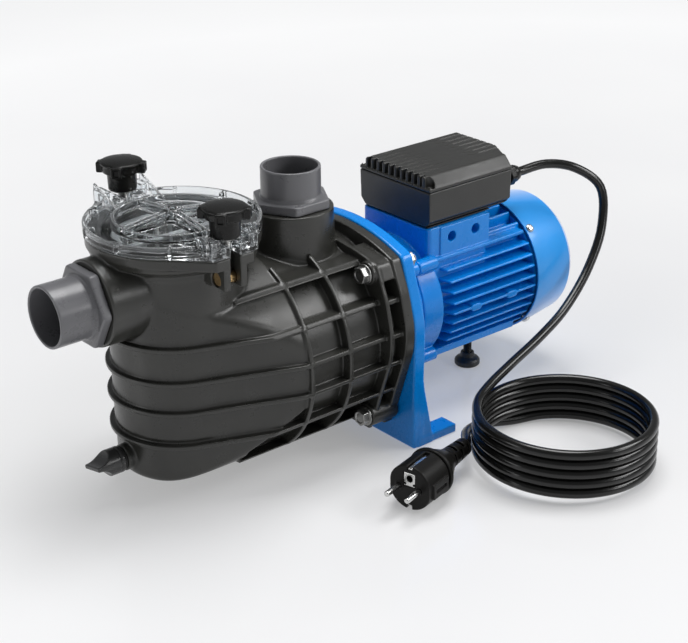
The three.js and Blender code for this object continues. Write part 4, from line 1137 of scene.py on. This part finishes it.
def plug_field(g):
    r = np.hypot(g.y, g.z)
    front = meet(slab_x(g, r - 19.6, -30, 0, 1.2), np.abs(g.y) - 18.6, 1)
    collar = slab_x(g, r - 20.7, -34.5, -30.5, 1.2)
    neck = slab_x(g, r - (17.5 - 8.0 * np.clip((-36 - g.x) / 18, 0, 1) ** 1.3), -56, -32, 1)
    relief = slab_x(g, r - (9.2 - 1.6 * np.clip((-54 - g.x) / 30, 0, 1)), -84, -50, 0.8)
    # the strain relief is notched in turn from two sides
    across = np.where(np.floor(-g.x / 5.5) % 2 > 0.5, np.abs(g.y), np.abs(g.z))
    step = np.abs((-g.x / 5.5) % 1 - 0.5) * 5.5
    notch = overlap(step - 1.4, 5.2 - r, across - 5.5)
    relief = cut(relief, np.maximum(notch, np.maximum(g.x + 57, -81 - g.x)), 0.5)
    solid = join(join(front, collar, 0.8), join(neck, relief, 2), 1.2)
    # a raised, grooved grip on each long side
    for side in (-1, 1):
        grip = block(np.abs(g.z + 1) - 6.5, inside(side * g.y, 14, 20.4), inside(g.x, -27, -5), 0.8)
        groove = block(np.abs(g.z + 1) - 1.6, 18.9 - side * g.y, inside(g.x, -23.5, -8.5), 0.5)
        solid = cut(join(solid, grip, 0.6), groove, 0.4)
    # narrow slots over the earth arms, the recess of the face plate and the sockets of the pins
    arms = block(np.abs(g.y) - 2.6, 15.4 - np.abs(g.z), inside(g.x, -27.4, 5), 0.4)
    solid = cut(solid, arms, 0.4)
    face = block(np.abs(g.y) - 5.6, inside(g.z, 1.0, 13.6), inside(g.x, -1.3, 4), 0.3)
    solid = cut(solid, face, 0.3)
    solid = cut(solid, slab_x(g, np.hypot(g.y, g.z - 8) - 2.7, -14, 4, 0.3), 0.4)
    for y in (-PIN_Y, PIN_Y):
        ring = slab_x(g, np.hypot(g.y - y, g.z) - 3.6, -1, 0.6, 0.3)
        solid = join(solid, ring, 0.4)
        solid = cut(solid, slab_x(g, np.hypot(g.y - y, g.z) - 2.6, -9.5, 4, 0.2), 0.3)
    return cut(solid, slab_x(g, r - 4.6, -100, -43, 0.3), 0.5)


def make_plug():
    # the plug's pieces are built with the face at x = 0, looking along +X, and then put in place
    turn = np.array(Matrix.Rotation(PLUG_YAW, 3, "Z"))
    place = (turn, PLUG_AT)
    g = Grid((-85, -21, -21), (2, 21, 21), 0.5)
    make_field_piece("plug", g, plug_field(g), "plug_rubber", "plug_body", place=place)
    direction = (math.cos(PLUG_YAW), math.sin(PLUG_YAW), 0)
    pin = rounded([(0, -9.4, 0), (2.4, -9.4, 0.3), (2.4, 17.5, 0), (2.2, 18.6, 0.8), (1.2, 19, 0.6),
                   (0, 19, 0)])
    for label, y in (("left", -PIN_Y), ("right", PIN_Y)):
        centre = PLUG_AT + turn @ np.array([0, y, 0])
        lathe(f"pin_{label}", pin, direction, centre, "nickel", f"plug_pin_{label}", sides=40)
    g = Grid((-28, -6, -19), (0, 6, 19), 0.4)
    plate = block(np.abs(g.y) - 5.2, inside(g.z, 1.4, 13.2), inside(g.x, -1.2, -0.1), 0.3)
    nick = slab_x(g, np.hypot(np.abs(g.y) - 4.2, g.z - 3.2) - 1.0, -5, 5, 0.2)
    hole = slab_x(g, np.hypot(g.y, g.z - 8) - 2.9, -5, 5, 0.2)
    solid = cut(plate, np.minimum(nick, hole), 0.3)
    for side in (-1, 1):
        bend = 16.6 + 0.5 * np.cos((g.x + 14) / 26 * np.pi)
        arm = block(np.abs(g.y) - 2.1, np.abs(side * g.z - bend) - 0.5, inside(g.x, -27, -1), 0.3)
        tail = block(np.abs(g.y) - 2.1, inside(side * g.z, 12.5, bend), inside(g.x, -2.2, -1.1), 0.3)
        link = block(np.abs(g.y) - 2.1, inside(g.z, -13, 3), inside(g.x, -2.2, -1.1), 0.3)
        solid = join(solid, np.minimum(np.minimum(arm, tail), link), 0)
    make_field_piece("earth_contact", g, solid, "nickel", "earth_strap", place=place)


# ---------------- carried CAD nodes

NODE_LOOKS = {
    "casing_oring": "rubber", "seal_plate": "inner_plastic", "seal_seat": "ceramic",
    "diffuser": "inner_plastic", "impeller": "inner_plastic", "seal_head": "zinc_steel",
    "stator_core": "lamination", "stator_winding": "copper", "rotor_core": "lamination",
    "motor_shaft": "zinc_steel", "front_bearing": "zinc_steel", "rear_bearing": "zinc_steel",
    "rear_shield": "blue_paint", "cooling_fan": "dark_plastic", "capacitor": "white_plastic",
    "terminal_block": "white_plastic",
}


def dress_cad_nodes():
    """Inner pieces keep their CAD shapes, softened at their edges."""
    for node, look in NODE_LOOKS.items():
        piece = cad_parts[node]
        piece.data.materials.clear()
        piece.data.materials.append(LOOKS[look])
        bevel = piece.modifiers.new("soft_edges", "BEVEL")
        bevel.width = 0.0003
        bevel.segments = 2
        bevel.limit_method = "ANGLE"
        bevel.angle_limit = math.radians(40)


# ---------------- stage, light and camera


def make_stage():
    """A pale floor that gets lighter away from its middle, which is beside the pump."""
    bpy.ops.mesh.primitive_plane_add(size=12, location=(0.3, -0.05, 0))
    floor = bpy.context.object
    floor.name = "floor"
    m = Nodes(bpy.data.materials.new("studio_floor"))
    distance = m.add("ShaderNodeVectorMath", operation="LENGTH")
    m.link(m.coordinates["Object"], distance.inputs[0])
    m.give("Base Color", m.mix(m.ramp(m.noise(3, 2), 0.3, 0.7), (0.5, 0.5, 0.51), (0.53, 0.53, 0.535)))
    m.give("Roughness", 0.16)
    m.give("Specular IOR Level", 0.45)
    m.give("Emission Color", (1, 1, 1, 1))
    m.give("Emission Strength", m.ramp(distance.outputs["Value"], 0.0, 1.3, 0.19, 0.61))
    floor.data.materials.append(m.owner)


def add_softbox(name, place, target, size, power):
    light = bpy.data.lights.new(name, "AREA")
    light.shape = "RECTANGLE"
    light.size, light.size_y = size
    light.energy = power
    lamp = bpy.data.objects.new(name, light)
    lamp.location = place
    lamp.rotation_euler = (Vector(target) - Vector(place)).to_track_quat("-Z", "Y").to_euler()
    bpy.context.scene.collection.objects.link(lamp)


def light_scene():
    """Surroundings that are pale at the horizon and darker overhead, and soft lamps."""
    world = bpy.data.worlds.new("studio")
    w = Nodes(world)
    background = w.tree.nodes["Background"]
    background.inputs["Color"].default_value = (0.96, 0.98, 1, 1)
    height = w.add("ShaderNodeSeparateXYZ")
    w.link(w.coordinates["Generated"], height.inputs[0])
    w.link(w.ramp(height.outputs["Z"], 0.0, 0.35, 0.5, 0.22), background.inputs["Strength"])
    bpy.context.scene.world = world
    middle = (0, 0, 0.1)
    add_softbox("overhead", (0.3, 0.1, 1.9), middle, (1.0, 1.0), 29)
    add_softbox("front_right", (1.02, -0.85, 1.05), middle, (0.7, 0.5), 10)
    add_softbox("front", (0.68, -1.36, 0.7), middle, (0.45, 0.35), 3)
    add_softbox("left", (-1.5, 0.3, 0.4), middle, (0.5, 0.5), 2)


def place_camera():
    """A long lens, from the strainer's left front and about 24 degrees up."""
    camera_data = bpy.data.cameras.new("camera")
    camera_data.sensor_width = 36
    camera_data.lens = 84.1971
    camera_data.shift_x = 0.00145
    camera_data.shift_y = -0.00945
    camera = bpy.data.objects.new("camera", camera_data)
    camera.location = (-0.8249, -0.9896, 0.6648)
    camera.rotation_euler = [math.radians(angle) for angle in (66.0703, 0.5358, -39.8540)]
    bpy.context.scene.collection.objects.link(camera)
    bpy.context.scene.camera = camera
    bpy.context.scene.view_settings.view_transform = "Standard"


make_casing()
make_strainer()
make_unions()
make_swing_bolts()
make_drain()
make_bracket()
make_bolts()
make_front_shield()
make_housing()
make_cowl()
make_foot()
make_box()
make_cable()
make_plug()
dress_cad_nodes()
make_stage()
light_scene()
place_camera()
